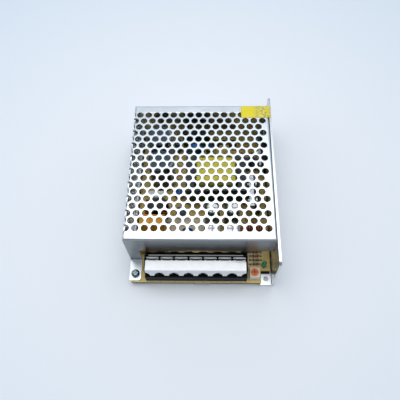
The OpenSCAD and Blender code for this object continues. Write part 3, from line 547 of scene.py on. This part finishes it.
def sheet_metal(name, tint, roughness, along, cover=False):
    """Rolled sheet: fine grain along the rolling direction, cloudy oxide and a few scuffs. The
    cover's front, foot, side wall and cut edges have painted shade, since they face away from
    the light, and painted shade darkens its side holes and each top hole's rolled over rim."""
    paint = Paint(name)
    grain = paint.noise(0.5, 3, 0.6, along)
    clouds = paint.noise(16, 4, 0.6)
    scuffs = paint.noise(1.1, 2, 0.5, (26, 1.5, 1.5), 7.0).rise(0.66, 0.74)
    base = paint.mix(shade(tint, 0.9), shade(tint, 1.06), clouds)
    base = paint.mix(base, shade(tint, 0.75), scuffs * 0.35)
    gloss = roughness - 0.07 + grain * 0.1 + (clouds - 0.5) * 0.12 + scuffs * 0.12
    height = grain * 0.12 + clouds * 0.1
    if cover:
        lip, first_rim = HOLE_START[1] - 7.2, HOLE_START[1] - 2.62
        ahead = paint.y < lip
        front = ahead * paint.z.within(FOOT_TOP + 0.05, COVER_TOP - 0.8, 0.2)
        # Painted shade: the cover's front lip is painted darker, for the shaded floor it reflects
        base = paint.mix(base, shade(tint, 0.3), front * 0.88)
        # Painted shade on the foot below the lip
        base = paint.mix(base, shade(tint, 0.6), ahead * (paint.z < FOOT_TOP) * 0.7)
        in_rows = paint.y.within(first_rim, LAST_RIM)
        side = off_holes(paint.z * -1, paint.y, (-SIDE_START[0], SIDE_START[1]), SIDE_ENDS, 0.25)
        on_side = in_rows * (paint.x < COVER_SIDE + 1.1) * (paint.z < COVER_TOP - 1.4)
        # Painted shade: the side wall is painted near black in and round its holes
        base = paint.mix(base, shade(tint, 0.1), (1 - side) * on_side * 0.9)
        # Painted shade over the outer face of the side wall
        base = paint.mix(base, shade(tint, 0.5), (paint.x < COVER_SIDE + 0.5) * 0.8)
        top = off_holes(paint.x, paint.y, HOLE_START, HOLE_ENDS, 0.22)
        on_top = (paint.z > COVER_TOP - 0.5) * in_rows
        height = height + (top - 1) * on_top * 0.3
        # Painted shade in each hole of the top and on its rolled over rim
        base = paint.mix(base, shade(tint, 0.4), (1 - top) * on_top * 0.7)
    return paint.finish(base, gloss, height, 0.05, Metallic=1.0)


def plated(name, tint, roughness=0.26):
    """Plated fastener: a bright skin with fine turning marks and dull spots."""
    paint = Paint(name)
    spots = paint.noise(0.9, 3, 0.6)
    base = paint.mix(shade(tint, 0.72), tint, spots.rise(0.3, 0.6))
    marks = (paint.reach(paint.x.wrap(POLE_PITCH), paint.y.wrap(POLE_PITCH)) * 14).sin()
    return paint.finish(base, roughness + (0.5 - spots) * 0.2, spots + marks * 0.1, 0.015,
                        Metallic=1.0)


def moulded(name, tint, roughness=0.45, grain=0.35, depth=0.03, coat=0.0, shade_below=None,
            **sockets):
    """Moulded plastic: a sparked surface with faint flow marks and dust, and painted shade below
    a given height, for a part that is sunk or slotted."""
    paint = Paint(name)
    spark = paint.noise(grain, 2, 0.7)
    flow = paint.noise(7, 3, 0.5, (3, 1, 1))
    base = paint.mix(shade(tint, 0.85), shade(tint, 1.15), flow)
    dust = paint.noise(1.3, 4, 0.7, (1, 1, 1), 3.0).rise(0.62, 0.8)
    base = paint.mix(base, (0.55, 0.53, 0.5), dust * 0.12)
    if shade_below:
        # Painted shade in the slot: darker below the given height
        base = paint.mix(base, shade(tint, 0.3), paint.z < shade_below)
    return paint.finish(base, roughness + (flow - 0.5) * 0.12 + dust * 0.2, spark, depth,
                        Coat_Weight=coat, Coat_Roughness=0.12, **sockets)


def lacquered(name, tint, mottling=0.12):
    """Dipped lacquer: a wet coat with orange peel, lighter and darker in blotches."""
    paint = Paint(name)
    peel = paint.noise(1.6, 2, 0.4)
    blotch = paint.noise(3.5, 3, 0.6)
    base = paint.mix(shade(tint, 1 - mottling), shade(tint, 1 + mottling), blotch)
    return paint.finish(base, 0.3 + (blotch - 0.5) * 0.15, peel, 0.08, Coat_Weight=0.5,
                        Coat_Roughness=0.1)


def taped(name, tint, width, across="y"):
    """Wound tape: each turn's edge shows as a thin shadow, and small wrinkles are lighter."""
    paint = Paint(name)
    run = getattr(paint, across)
    edge = abs((run + paint.noise(5, 2) * 0.5).wrap(width)).rise(0.0, 0.3)
    wrinkle = paint.noise(1.4, 3, 0.6, (3, 1, 1))
    base = paint.mix(shade(tint, 0.7), tint, edge * 0.7 + 0.3)
    base = paint.mix(base, shade(tint, 1.25), wrinkle.rise(0.55, 0.75) * 0.5)
    return paint.finish(base, 0.34 + wrinkle * 0.16, edge + wrinkle * 0.6, 0.04,
                        Coat_Weight=0.05)


def sintered(name, tint, roughness=0.55, varnish_and_shade=None):
    """Ground ferrite: fine pores and grinding lines. The last argument gives the colour of its
    dipped sides, dark green painted near black as shade, and the height of its bare top."""
    paint = Paint(name)
    pores = paint.noise(0.25, 4, 0.8)
    lines = paint.noise(0.4, 2, 0.6, (1, 14, 1), 2.0)
    base = paint.mix(shade(tint, 0.7), shade(tint, 1.3), pores)
    if varnish_and_shade:
        # Painted shade: the dipped sides below the bare top are a near black green
        base = paint.mix(base, varnish_and_shade[0], 1 - paint.z.rise(varnish_and_shade[1] - 0.3, varnish_and_shade[1] - 0.1))
    return paint.finish(base, roughness - 0.1 + lines * 0.2, pores + lines * 0.5, 0.03,
                        Metallic=0.3)


def sleeved(name, tint, middles, radius, top, bare=(0.82, 0.83, 0.84), shine=0.9):
    """Capacitors: a shrink sleeve with a pale stripe down its +X side, rolled over the rim,
    and a bare top with a scored cross. Each place takes its distances from the can it is on."""
    paint = Paint(name)
    for number, (x, y) in enumerate(middles):
        here = paint.reach(paint.x - x, paint.y - y)
        own = (here, paint.x - x, abs(paint.x - x).low(abs(paint.y - y)))
        if number:
            near = here < radius + 0.6
            own = [far * (1 - near) + new * near for far, new in zip((spread, side, cross), own)]
        spread, side, cross = own
    metal = (1 - spread.rise(radius - 1.5, radius - 1.2)) * (paint.z > top - 1.5)
    groove = 1 - cross.rise(0.12, 0.35)
    brushed = paint.noise(0.4, 2, 0.6, (12, 1, 1))
    stripe = side.rise(radius * 0.72, radius * 0.74) * (1 - metal)
    shrink = paint.noise(2.4, 3, 0.6, (1, 1, 4))
    base = paint.mix(tint, (0.5, 0.52, 0.52), stripe)
    base = paint.mix(base, bare, metal)
    # Painted shade in the grooves of the scored cross on the bare top
    base = paint.mix(base, shade(bare, 0.4), metal * groove * 0.8)
    paint.plug(paint.shader.inputs["Metallic"], metal * shine)
    return paint.finish(base, 0.3 + metal * 0.08 + (shrink - 0.5) * 0.1,
                        shrink * (1 - metal) - groove * metal + brushed * metal * 0.1, 0.12)


def laminate(settings):
    """Paper laminate of the board: mottled fibres, brown at the sawn edge, a pale field and
    printed outlines round the parts at the open corner, a painted shadow at each barrier, and
    dark green lacquer underneath, painted near black as the shade under the board."""
    paint = Paint("board_laminate")
    low, high, _ = box_mm("circuit_board")
    tint = settings.laminate
    fibres = paint.noise(0.8, 4, 0.65, (3, 1, 1))
    blotch = paint.noise(9, 3, 0.6)
    base = paint.mix(shade(tint, 0.78), shade(tint, 1.12), fibres * 0.6 + blotch * 0.4)
    tracks = paint.cell_edges(5.5, (1.6, 1, 1)).rise(0.04, 0.09)
    base = paint.mix(shade(tint, 0.8), base, tracks * 0.5 + 0.5)
    lamp, ring, line = box_mm("indicator_lamp")[2], (2.35, 2.6), 0.14
    ink = paint.reach(paint.x - lamp[0], paint.y - lamp[1]).within(*ring)
    for node, count in (("lamp_resistors", 4), ("trimmer_body", 1), ("terminal_block", 1)):
        lowest, highest, middle = box_mm(node)
        step, half = (highest[1] - lowest[1]) / count, (highest[0] - lowest[0]) / 2
        for n in range(count):
            off_x = abs(paint.x - middle[0]) - (half + 0.5)
            off_y = abs(paint.y - (lowest[1] + step * (n + 0.5))) - (step / 2 + 0.12)
            ink = ink.high(off_x.high(off_y).within(-line, line))
    field_x, field_y, blur = (-23, 4), (-27, -17), 0.6
    pale = paint.x.within(*field_x, blur) * paint.y.within(*field_y, blur)
    base = paint.mix(base, settings.ink, pale * blotch.rise(0.2, 0.5) * 0.8)
    ink = ink * paint.noise(0.6, 3, 0.7, (1, 1, 1), 5.0).rise(0.3, 0.42)
    on_top = paint.z > high[2] - 0.1
    base = paint.mix(base, settings.ink, ink * on_top)
    # Lacquer and painted shade: the underside and the lowest band of the sawn edge are a near
    # black green
    under = 1 - paint.z.rise(low[2] + 0.15, low[2] + 0.4)
    base = paint.mix(base, (0.012, 0.05, 0.035), under)
    first = box_mm("terminal_block")[0]
    # Painted shadow of each barrier's foot on the board in front of the block
    foot_shadow = 1 - abs((paint.x - first[0] - 0.6).wrap(POLE_PITCH)).rise(0.12, 0.3)
    foot_shadow = foot_shadow * (paint.y < first[1] - 0.2) * (paint.x < -first[0])
    base = paint.mix(base, (0.06, 0.05, 0.03), foot_shadow * on_top * 0.7)
    sawn = (1 - on_top) * (1 - under)
    base = paint.mix(base, shade(tint, 0.8), sawn * 0.6)
    return paint.finish(base, 0.42 + fibres * 0.15 - ink * 0.1, fibres + ink * on_top, 0.03)


def banded(settings):
    """Film resistor: lacquer with colour rings along X, the outer two on the swellings."""
    paint = Paint("resistor_lacquer")
    middle = box_mm("lamp_resistors")[2]
    along = paint.x - middle[0]
    tint, half = settings.resistor, 0.17
    base = paint.mix(shade(tint, 0.75), tint, paint.noise(0.7, 2))
    for place, ring in ((-1.5, chip(70, 40, 30)), (-0.62, chip(206, 184, 140)),
                        (0.12, chip(44, 32, 28)), (1.5, chip(172, 128, 60))):
        base = paint.mix(base, ring, along.within(place - half, place + half, 0.04) * 0.9)
    return paint.finish(base, 0.33 + paint.noise(0.5) * 0.1, paint.noise(0.6), 0.03,
                        Coat_Weight=0.4)


def milky(settings):
    """Milky clear flap: light passes in part, with faint flow lines and rubbed places. Painted
    shade darkens it along the hinge, with painted highlights where the knuckles catch light."""
    paint = Paint("clear_flap")
    flow = paint.noise(3.2, 3, 0.55, (1.5, 1, 1))
    rub = paint.noise(0.8, 3, 0.6, (8, 1, 1), 4.0)
    tint = settings.flap
    base = paint.mix(shade(tint, 0.94), tint, flow.rise(0.3, 0.65))
    back, top = box_mm("terminal_flap")[1][1:]
    knuckle_highlight = paint.y.within(back - 1.75, back - 0.55) * (paint.z > top - 1)
    # Painted shade along the hinge
    base = paint.mix(base, chip(26, 28, 31), paint.y > back - 2.75)
    # Painted highlight on the tops of the knuckles
    base = paint.mix(base, chip(206, 208, 206), knuckle_highlight)
    return paint.finish(base, 0.12 + rub.rise(0.5, 0.8) * 0.12, flow * 0.8 + rub * 0.15, 0.1,
                        Transmission_Weight=settings.clearness, IOR=1.75, Coat_Weight=1.0)


def glowing_lens(settings):
    """Tinted lamp lens: part clear, deeper where it is thick."""
    paint = Paint("lamp_lens")
    depth = paint.noise(1.8, 2)
    tint = settings.lamp
    base = paint.mix(shade(tint, 0.6), shade(tint, 1.3), depth)
    return paint.finish(base, 0.16 + depth * 0.06, depth, 0.03, Transmission_Weight=0.3,
                        IOR=1.5, Coat_Weight=0.4)


def enamelled(name, tint):
    """Enamelled wire: deep varnish over drawn copper, lighter and darker in blotches."""
    paint = Paint(name)
    blotch = paint.noise(2.2, 3)
    base = paint.mix(shade(tint, 0.7), shade(tint, 1.3), blotch)
    return paint.finish(base, 0.26 + blotch * 0.12, paint.noise(0.5), 0.01, Metallic=0.55,
                        Coat_Weight=0.5)


def paper(settings):
    """Coated yellow paper of the sticker: creased, with painted reflections and a dirty edge."""
    paint = Paint("sticker_paper")
    low, high, middle = box_mm("label")
    fold = paint.noise(3.4, 3, 0.6, (1, 1.6, 1))
    crumpled = paint.x.rise(middle[0] - 3, middle[0] + 2) * paint.noise(1.2, 3, 0.6).rise(0.42, 0.62)
    tint = settings.sticker
    # Painted reflections on the crumpled half: dull greyish patches
    base = paint.mix(tint, chip(150, 142, 84), crumpled * 0.75)
    painted_glints = paint.x.rise(middle[0] - 1, middle[0] + 4) * paint.noise(
        0.9, 3, 0.7, (1, 2.4, 1), 9.0).rise(0.56, 0.66)
    # Painted reflections: whitish glints on the crumpled half
    base = paint.mix(base, chip(250, 248, 214), painted_glints)
    edge = (abs(paint.x - middle[0]) - (high[0] - low[0]) / 2).high(
        abs(paint.y - middle[1]) - (high[1] - low[1]) / 2).rise(-0.5, -0.05)
    base = paint.mix(base, shade(tint, 0.5), edge * 0.4)
    return paint.finish(base, 0.28 + fold * 0.2, fold + crumpled * 0.4, 0.25, Coat_Weight=0.25)


# ---- Pieces ----


def lamp_resistors(settings):
    """Four film resistors: each body is a turned profile that swells at its end caps, and its
    wire goes up, along X and down with round bends."""
    low, high, middle = box_mm("lamp_resistors")
    top = box_mm("circuit_board")[1][2]
    pitch = (high[1] - low[1] - 2 * RESISTOR_RADIUS) / 3
    end = [(0.3, 2.1), (0.62, 2.06), (0.86, 1.92), (RESISTOR_RADIUS, 1.66), (0.94, 1.35),
           (0.86, 1.08), (0.74, 0.86), (0.7, 0.6)]
    profile = [(r, -x) for r, x in end] + end[::-1]
    turn = np.linspace(0, math.pi / 2, 6)
    radius, bend = 0.3, 0.55
    reach = (high[0] - low[0]) / 2 - radius
    bodies, wires = [], []
    for n in range(4):
        place = np.array([middle[0], low[1] + RESISTOR_RADIUS + n * pitch, top + 1.1])
        bodies.append(turned(profile, place, 24))
        half = np.stack([reach - bend + bend * np.sin(turn), 0 * turn,
                         bend * np.cos(turn) - bend], -1)
        half = np.concatenate([half, [[reach, 0, low[2] - place[2]]]])
        path = place + np.concatenate([half[::-1] * (-1, 1, 1), half])
        wires.append(tube(path, radius, (0, 1, 0), 8))
    body = skin_object("lamp_resistor_bodies", bodies, banded(settings))
    wire = skin_object("lamp_resistor_wires", wires,
                       plated("tinned_wire", chip(150, 148, 144), 0.4))
    for piece, slot in ((body, "resistor_body"), (wire, "tinned_metal")):
        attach(piece, "case")
    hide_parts("lamp_resistors")


def rail_highlight_strip(made):
    """A pale strip, a painted highlight on the rail behind the hinge: an open sheet with its
    edges let down and a slight wave, h = lift(u, v) + 0.02 sin 40u, given a thickness of 0.1 mm."""
    low, high, _ = box_mm("terminal_block")
    rail, back, deep = high[2] - 1.5, low[1] + 12.52, 0.76
    left, run = low[0] + 2.4, high[0] - low[0] - 5.2

    def rule(u, v):
        inside_v = np.minimum(1, 8 * np.minimum(v, 1 - v))
        inside_u = np.minimum(1, 60 * np.minimum(u, 1 - u))
        lift = 0.14 * inside_v * inside_u + 0.02 * np.sin(40 * u)
        return left + run * u, back + deep * v, rail + lift

    piece = skin_object("rail_highlight_strip", [sheet(rule, 160, 9)],
                        moulded("rail_highlight_card", made.strip, 0.35, 0.6, 0.02))
    card = piece.modifiers.new("thickness", "SOLIDIFY")
    card.thickness, card.offset = 0.1 * MM, -1
    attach(piece, "case")


def ring_coil(made):
    """Turns of heavy wire round the powder ring: one wire whose loops are rounded rectangles
    that advance round the ring, with both ends down to the board."""
    low, high, _ = box_mm("inductor_winding")
    foot = box_mm("circuit_board")[1][2] - 0.3
    wire, turns, first, sweep = 0.5, 21, -60, 300
    outer, hole, thick = (high[0] - low[0]) / 2, 3.6, high[1] - low[1]
    core = box_mm("inductor_core")[2]
    run = np.linspace(0, turns, turns * 26 + 1)
    across, along = rounded(2 * math.pi * run, (outer - hole) / 2 - wire, thick / 2 - wire, 0.55)
    angle = np.radians(first + sweep * run / turns)
    reach = (outer + hole) / 2 + across
    path = np.stack([core[0] + reach * np.cos(angle), core[1] - along,
                     core[2] + reach * np.sin(angle)], -1)
    outward = np.stack([np.cos(angle), 0 * angle, np.sin(angle)], -1)
    legs = [tube([(*end[:2], foot), end], wire, (1, 0, 0), 8) for end in (path[0], path[-1])]
    piece = skin_object("inductor_coil", [tube(path, wire, outward, 8), *legs],
                        enamelled("inductor_wire", made.copper))
    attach(piece, "case")
    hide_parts("inductor_winding")


def choke_coils(made):
    """Two coils on the legs of the choke: rounded rectangles that climb one wire a turn."""
    low, high, middle = box_mm("choke_windings")
    wire = (high[2] - low[2]) / (made.turns + 1) / 2
    run = np.linspace(0, made.turns, made.turns * 22 + 1)
    across, along = rounded(2 * math.pi * run, COIL_HALF - wire,
                            (high[1] - low[1]) / 2 - wire, 0.45)
    climb = low[2] + wire + 2 * wire * run
    skins = []
    for x in (low[0] + COIL_HALF, high[0] - COIL_HALF):
        path = np.stack([x + across, middle[1] + along, climb], -1)
        skins.append(tube(path, wire * 1.02, np.stack([across, along, 0 * run], -1), 6))
    piece = skin_object("choke_coils", skins, enamelled("choke_wire", made.copper))
    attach(piece, "case")
    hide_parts("choke_windings")


def wound_tape(made):
    """Tape round the transformer's winding: a rounded rectangle across X whose size steps
    down where the turns end, sags a little in waves, and falls off at its two edges."""
    low, high, middle = box_mm("transformer_winding")
    half = (high - low) / 2
    u, angle = np.meshgrid(np.linspace(-1, 1, 60), np.linspace(0, 2 * math.pi, 96,
                                                               endpoint=False), indexing="ij")
    swell = 1 - 0.012 * (1 + np.sin(9 * u + 2 * np.sin(angle * 3))) - 0.03 * abs(u) ** 12
    swell = swell - 0.008 * (u > 0.28) - 0.008 * (u < -0.36)
    y, z = rounded(angle, half[1], half[2], 0.22)
    points = np.stack([middle[0] + half[0] * u, middle[1] + y * swell, middle[2] + z * swell], -1)
    piece = skin_object("transformer_wrap", [woven(points[::-1], True, True)],
                        taped("transformer_tape", made.tape, 11.0, "x"))
    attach(piece, "case")
    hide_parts("transformer_winding")


def sticker(made):
    """The sticker: a thin sheet that has come up in creases at its worn half. Its height is a
    sum of smooth ridges along slanting lines, stronger towards the side wall."""
    low, high, _ = box_mm("label")
    size = high - low

    def rule(u, v):
        x, y = u * size[0], v * size[1]
        crumpled = 1 / (1 + np.exp(-(u - 0.45) * 14))
        lines = sum(tall * hill(x * math.cos(lean) + y * math.sin(lean) - place, wide)
                    for place, lean, wide, tall in (
                        (12.0, 0.35, 0.35, 0.8), (15.4, -0.3, 0.3, 1.0), (17.5, 0.9, 0.45, 0.7),
                        (11.0, -0.75, 0.3, 0.6), (19.6, 0.1, 0.4, 0.8), (6.0, 1.3, 0.4, 0.7),
                        (21.5, 0.55, 0.5, 0.6)))
        ripple = 0.15 * np.sin(1.9 * x + 2.2 * np.sin(1.3 * y)) * np.sin(2.3 * y + x)
        edge = np.minimum(np.minimum(u, 1 - u) * size[0], np.minimum(v, 1 - v) * size[1])
        lift = made.crease / MM * crumpled * (lines + ripple + 0.2) * np.minimum(1, edge / 0.8)
        wave = 0.12 * np.sin(3.1 * y) * hill(x, 0.5) + 0.1 * np.sin(2.7 * x) * hill(y, 0.4)
        return low[0] + x + wave * crumpled, low[1] + y, high[2] + lift

    piece = skin_object("sticker", [sheet(rule, 106, 52)], paper(made))
    layer = piece.modifiers.new("thickness", "SOLIDIFY")
    layer.thickness, layer.offset = size[2] * 0.9 * MM, -1
    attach(piece, "case")
    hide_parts("label")


# ---- Operators ----


class SUPPLY_OT_case(bpy.types.Operator):
    """Finish the floor, side wall, cover, screws and sticker"""

    bl_idname = "supply.case"
    bl_label = "Case"

    def execute(self, context):
        made = context.scene.supply_case
        reshaped("punched_cover", "cover", widen_holes,
                 sheet_metal("cover_sheet", made.cover, made.roughness, (26, 1, 1), True))
        dress(sheet_metal("floor_sheet", made.chassis, made.roughness - 0.02, (1, 26, 26)),
              "chassis")
        # Painted shade: the screw in the foot is given a darker colour than the other screws
        dress(plated("shade_darkened_screw", made.foot_screw, 0.3), "foot_screw")
        dress(plated("plated_screw", made.steel), "cover_screws", "board_screws",
              "device_screws", "clamp_bar", "flap_pin", "standoffs")
        sticker(made)
        return {"FINISHED"}


class SUPPLY_OT_board(bpy.types.Operator):
    """Finish the board, the sheet under it and the parts at its open corner"""

    bl_idname = "supply.board"
    bl_label = "Board and corner parts"

    def execute(self, context):
        made = context.scene.supply_board
        dress(laminate(made), "circuit_board")
        # Painted shade: the sheet's near black green also stands for the shaded gap under the
        # board's front edge
        dress(moulded("insulation_film", chip(24, 44, 40), 0.3, 1.2, 0.02), "insulation_sheet")
        dress(moulded("trimmer_case", chip(226, 224, 214), 0.42), "trimmer_body")
        dress(moulded("trimmer_orange", made.rotor, 0.4, 0.5, 0.04, shade_below=ROTOR_SLOT),
              "trimmer_rotor")
        dress(glowing_lens(made), "indicator_lamp")
        lamp_resistors(made)
        return {"FINISHED"}


class SUPPLY_OT_terminals(bpy.types.Operator):
    """Finish the terminal block, its metal and its flap"""

    bl_idname = "supply.terminals"
    bl_label = "Terminals"

    def execute(self, context):
        made = context.scene.supply_terminals
        front = box_mm("terminal_block")[0][1]
        # Painted shade: the terminal metal is darker than the screws, its plating darkened as the
        # shade under the flap
        plating_and_shade = plated("terminal_plating_and_shade", chip(150, 150, 146), 0.36)
        reshaped("barrier_block", "terminal_block", draw_back(front + 0.4, BARRIER_BACK),
                 moulded("terminal_moulding", made.block, 0.56, 0.3, 0.05, IOR=1.28))
        reshaped("contact_plates", "terminal_contacts",
                 draw_back(front + 1.2, CONTACT_BACK), plating_and_shade)
        dress(plating_and_shade, *(f"terminal_{kind}_{n + 1}" for kind in ("screw", "clamp")
                        for n in range(POLES)))
        reshaped("flap_moulding", "terminal_flap", lengthen_flap, milky(made))
        rail_highlight_strip(made)
        return {"FINISHED"}


class SUPPLY_OT_wound_parts(bpy.types.Operator):
    """Finish the transformers, the choke and the inductor"""

    bl_idname = "supply.wound_parts"
    bl_label = "Wound parts"

    def execute(self, context):
        made = context.scene.supply_windings
        top = box_mm("transformer_core")[1][2] + CORE_EXTRA / 2
        # The core's sides get a near black green, partly painted shade
        reshaped("core_stack", "transformer_core", thicken_core, sintered(
            "transformer_ferrite", made.ferrite, 0.55, (chip(12, 44, 36), top)))
        dress(sintered("choke_ferrite", chip(46, 46, 48)), "choke_core")
        dress(sintered("iron_powder", chip(96, 58, 46), 0.5), "inductor_core")
        dress(taped("driver_tape", chip(176, 150, 84), 8.0), "driver_transformer")
        dress(moulded("bobbin_moulding", chip(22, 52, 44), 0.4), "transformer_bobbin")
        dress(moulded("white_moulding", chip(228, 229, 224), 0.42), "choke_bobbin")
        wound_tape(made)
        choke_coils(made)
        ring_coil(made)
        return {"FINISHED"}


class SUPPLY_OT_capacitors(bpy.types.Operator):
    """Finish the capacitors, the varistor and the thermistor"""

    bl_idname = "supply.capacitors"
    bl_label = "Capacitors"

    def execute(self, context):
        made = context.scene.supply_windings
        for node in ("bulk_capacitor_1", "bulk_capacitor_2"):
            low, high, middle = box_mm(node)
            dress(sleeved(node + "_sleeve", chip(30, 32, 38), [middle[:2]],
                          (high[0] - low[0]) / 2, high[2], chip(84, 96, 106), 0.1), node)
        top = box_mm("output_capacitors")[1][2]
        reshaped("output_cans", "output_capacitors", slim_cans, sleeved(
            "output_sleeve", made.sleeve, OUTPUT_CANS, OUTPUT_CAN / 2, top))
        dress(lacquered("blue_lacquer", chip(12, 96, 176)), "disc_capacitors")
        dress(lacquered("varistor_lacquer", chip(16, 98, 168)), "varistor")
        dress(lacquered("thermistor_lacquer", chip(52, 58, 50)), "thermistor")
        dress(moulded("film_box", made.film_box, 0.4, 1.2, 0.03), "safety_capacitor")
        dress(lacquered("small_sleeves", chip(20, 58, 100)), "small_capacitors")
        dress(lacquered("small_lacquer", chip(188, 158, 112)), "small_resistors")
        return {"FINISHED"}


class SUPPLY_OT_power_parts(bpy.types.Operator):
    """Finish the fuse, the heat sink and the power devices"""

    bl_idname = "supply.power_parts"
    bl_label = "Power parts"

    def execute(self, context):
        dress(moulded("fuse_glass", chip(196, 206, 204), 0.12, 2.0, 0.01, 0.5), "fuse")
        dress(plated("fuse_clip", chip(190, 180, 150), 0.35), "fuse_clips")
        dress(moulded("black_epoxy", chip(26, 27, 29), 0.5, 0.3, 0.04), "bridge_rectifier",
              "controller_chip", "rectifier_diodes", "power_transistors")
        dress(sheet_metal("sink_sheet", chip(206, 214, 222), 0.36, (1, 1, 20)), "heat_sink")
        dress(moulded("pad_rubber", chip(196, 200, 196), 0.6, 0.5, 0.02), "insulating_pad")
        return {"FINISHED"}


class SUPPLY_OT_stage(bpy.types.Operator):
    """Make the floor, the lamps, the sky and the camera"""

    bl_idname = "supply.stage"
    bl_label = "Stage"

    def execute(self, context):
        scene, made = context.scene, context.scene.supply_stage
        scene.view_settings.view_transform = "Standard"
        paint = Paint("floor_card")
        # Painted shade: the floor is painted darker and bluer away from the middle, as its light
        # falls off
        dim = tuple(part * low for part, low in zip(made.floor, FAR_FLOOR))
        far = paint.reach(paint.x, paint.y).rise(60, 420)
        floor = skin_object("floor", [sheet(
            lambda u, v: (FLOOR_SIZE * (u - 0.5), FLOOR_SIZE * (v - 0.5), 0 * u - FLOOR_DROP),
            2, 2)], paint.finish(paint.mix(made.floor, dim, far), 0.9))
        for name, place, size, part in LAMPS:
            lamp = bpy.data.objects.new(name, bpy.data.lights.new(name, "AREA"))
            lamp.data.shape, lamp.data.energy = "RECTANGLE", made.lamp_power * part
            lamp.data.size, lamp.data.size_y = (side * MM for side in size)
            lamp.location = Vector(place) * MM
            lamp.rotation_euler = (-lamp.location).to_track_quat("-Z", "Y").to_euler()
            scene.collection.objects.link(lamp)
        self.sky(scene, made)
        self.camera(scene, made)
        return {"FINISHED"}

    def sky(self, scene, made):
        """Even pale light, dimmer from the front, and the floor's colour as the backdrop."""
        world = bpy.data.worlds.new("pale_sky")
        scene.world, world.use_nodes = world, True
        tree = world.node_tree
        tree.nodes.clear()
        place, split, dim, lit, path, seen, either, sky = (
            tree.nodes.new("ShaderNode" + kind) for kind in (
                "TexCoord", "SeparateXYZ", "MapRange", "Background", "LightPath", "Background",
                "MixShader", "OutputWorld"))
        for socket, value in zip(dim.inputs[1:5], (-0.9, 0.5, 0.35 * made.sky, made.sky)):
            socket.default_value = value
        lit.inputs["Color"].default_value = (*SKY_TINT, 1)
        seen.inputs["Color"].default_value = (*made.floor, 1)
        for source, output, target, socket in (
                (place, "Generated", split, 0), (split, "Y", dim, "Value"),
                (dim, 0, lit, "Strength"), (path, "Is Camera Ray", either, 0),
                (lit, 0, either, 1), (seen, 0, either, 2), (either, 0, sky, "Surface")):
            tree.links.new(source.outputs[output], target.inputs[socket])

    def camera(self, scene, made):
        """A camera in front of the terminal end, looking down at the open corner."""
        camera = bpy.data.objects.new("camera", bpy.data.cameras.new("camera"))
        ahead, right = Vector(CAMERA_AHEAD), Vector(CAMERA_RIGHT)
        ahead.normalize()
        right = (right - ahead * right.dot(ahead)).normalized()
        turn = Matrix((right, right.cross(ahead), -ahead)).transposed().to_4x4()
        camera.matrix_world = Matrix.Translation(Vector(CAMERA_AT) * MM) @ turn
        camera.data.lens, camera.data.clip_start = made.lens, 0.01
        scene.collection.objects.link(camera)
        scene.camera = camera


class SUPPLY_PT_pieces(bpy.types.Panel):
    """Buttons for the pieces and their settings"""

    bl_label = "Power supply"
    bl_space_type = "VIEW_3D"
    bl_region_type = "UI"
    bl_category = "Power supply"

    def draw(self, context):
        for operator in OPERATORS:
            self.layout.operator(operator.bl_idname)
        for name, group in SETTINGS.items():
            box = self.layout.box()
            for key in group.__annotations__:
                box.prop(getattr(context.scene, name), key)


OPERATORS = (SUPPLY_OT_stage, SUPPLY_OT_case, SUPPLY_OT_board, SUPPLY_OT_terminals,
             SUPPLY_OT_wound_parts, SUPPLY_OT_capacitors, SUPPLY_OT_power_parts)


def register():
    """Adds the settings, the operators and the panel."""
    for kind in (*SETTINGS.values(), *OPERATORS, SUPPLY_PT_pieces):
        bpy.utils.register_class(kind)
    for name, group in SETTINGS.items():
        setattr(bpy.types.Scene, name, PointerProperty(type=group))


def unregister():
    """Takes them out again."""
    for name in SETTINGS:
        delattr(bpy.types.Scene, name)
    for kind in (SUPPLY_PT_pieces, *reversed(OPERATORS), *SETTINGS.values()):
        bpy.utils.unregister_class(kind)


def main():
    register()
    for operator in OPERATORS:
        group, name = operator.bl_idname.split(".")
        getattr(getattr(bpy.ops, group), name)()


if __name__ == "__main__":
    main()
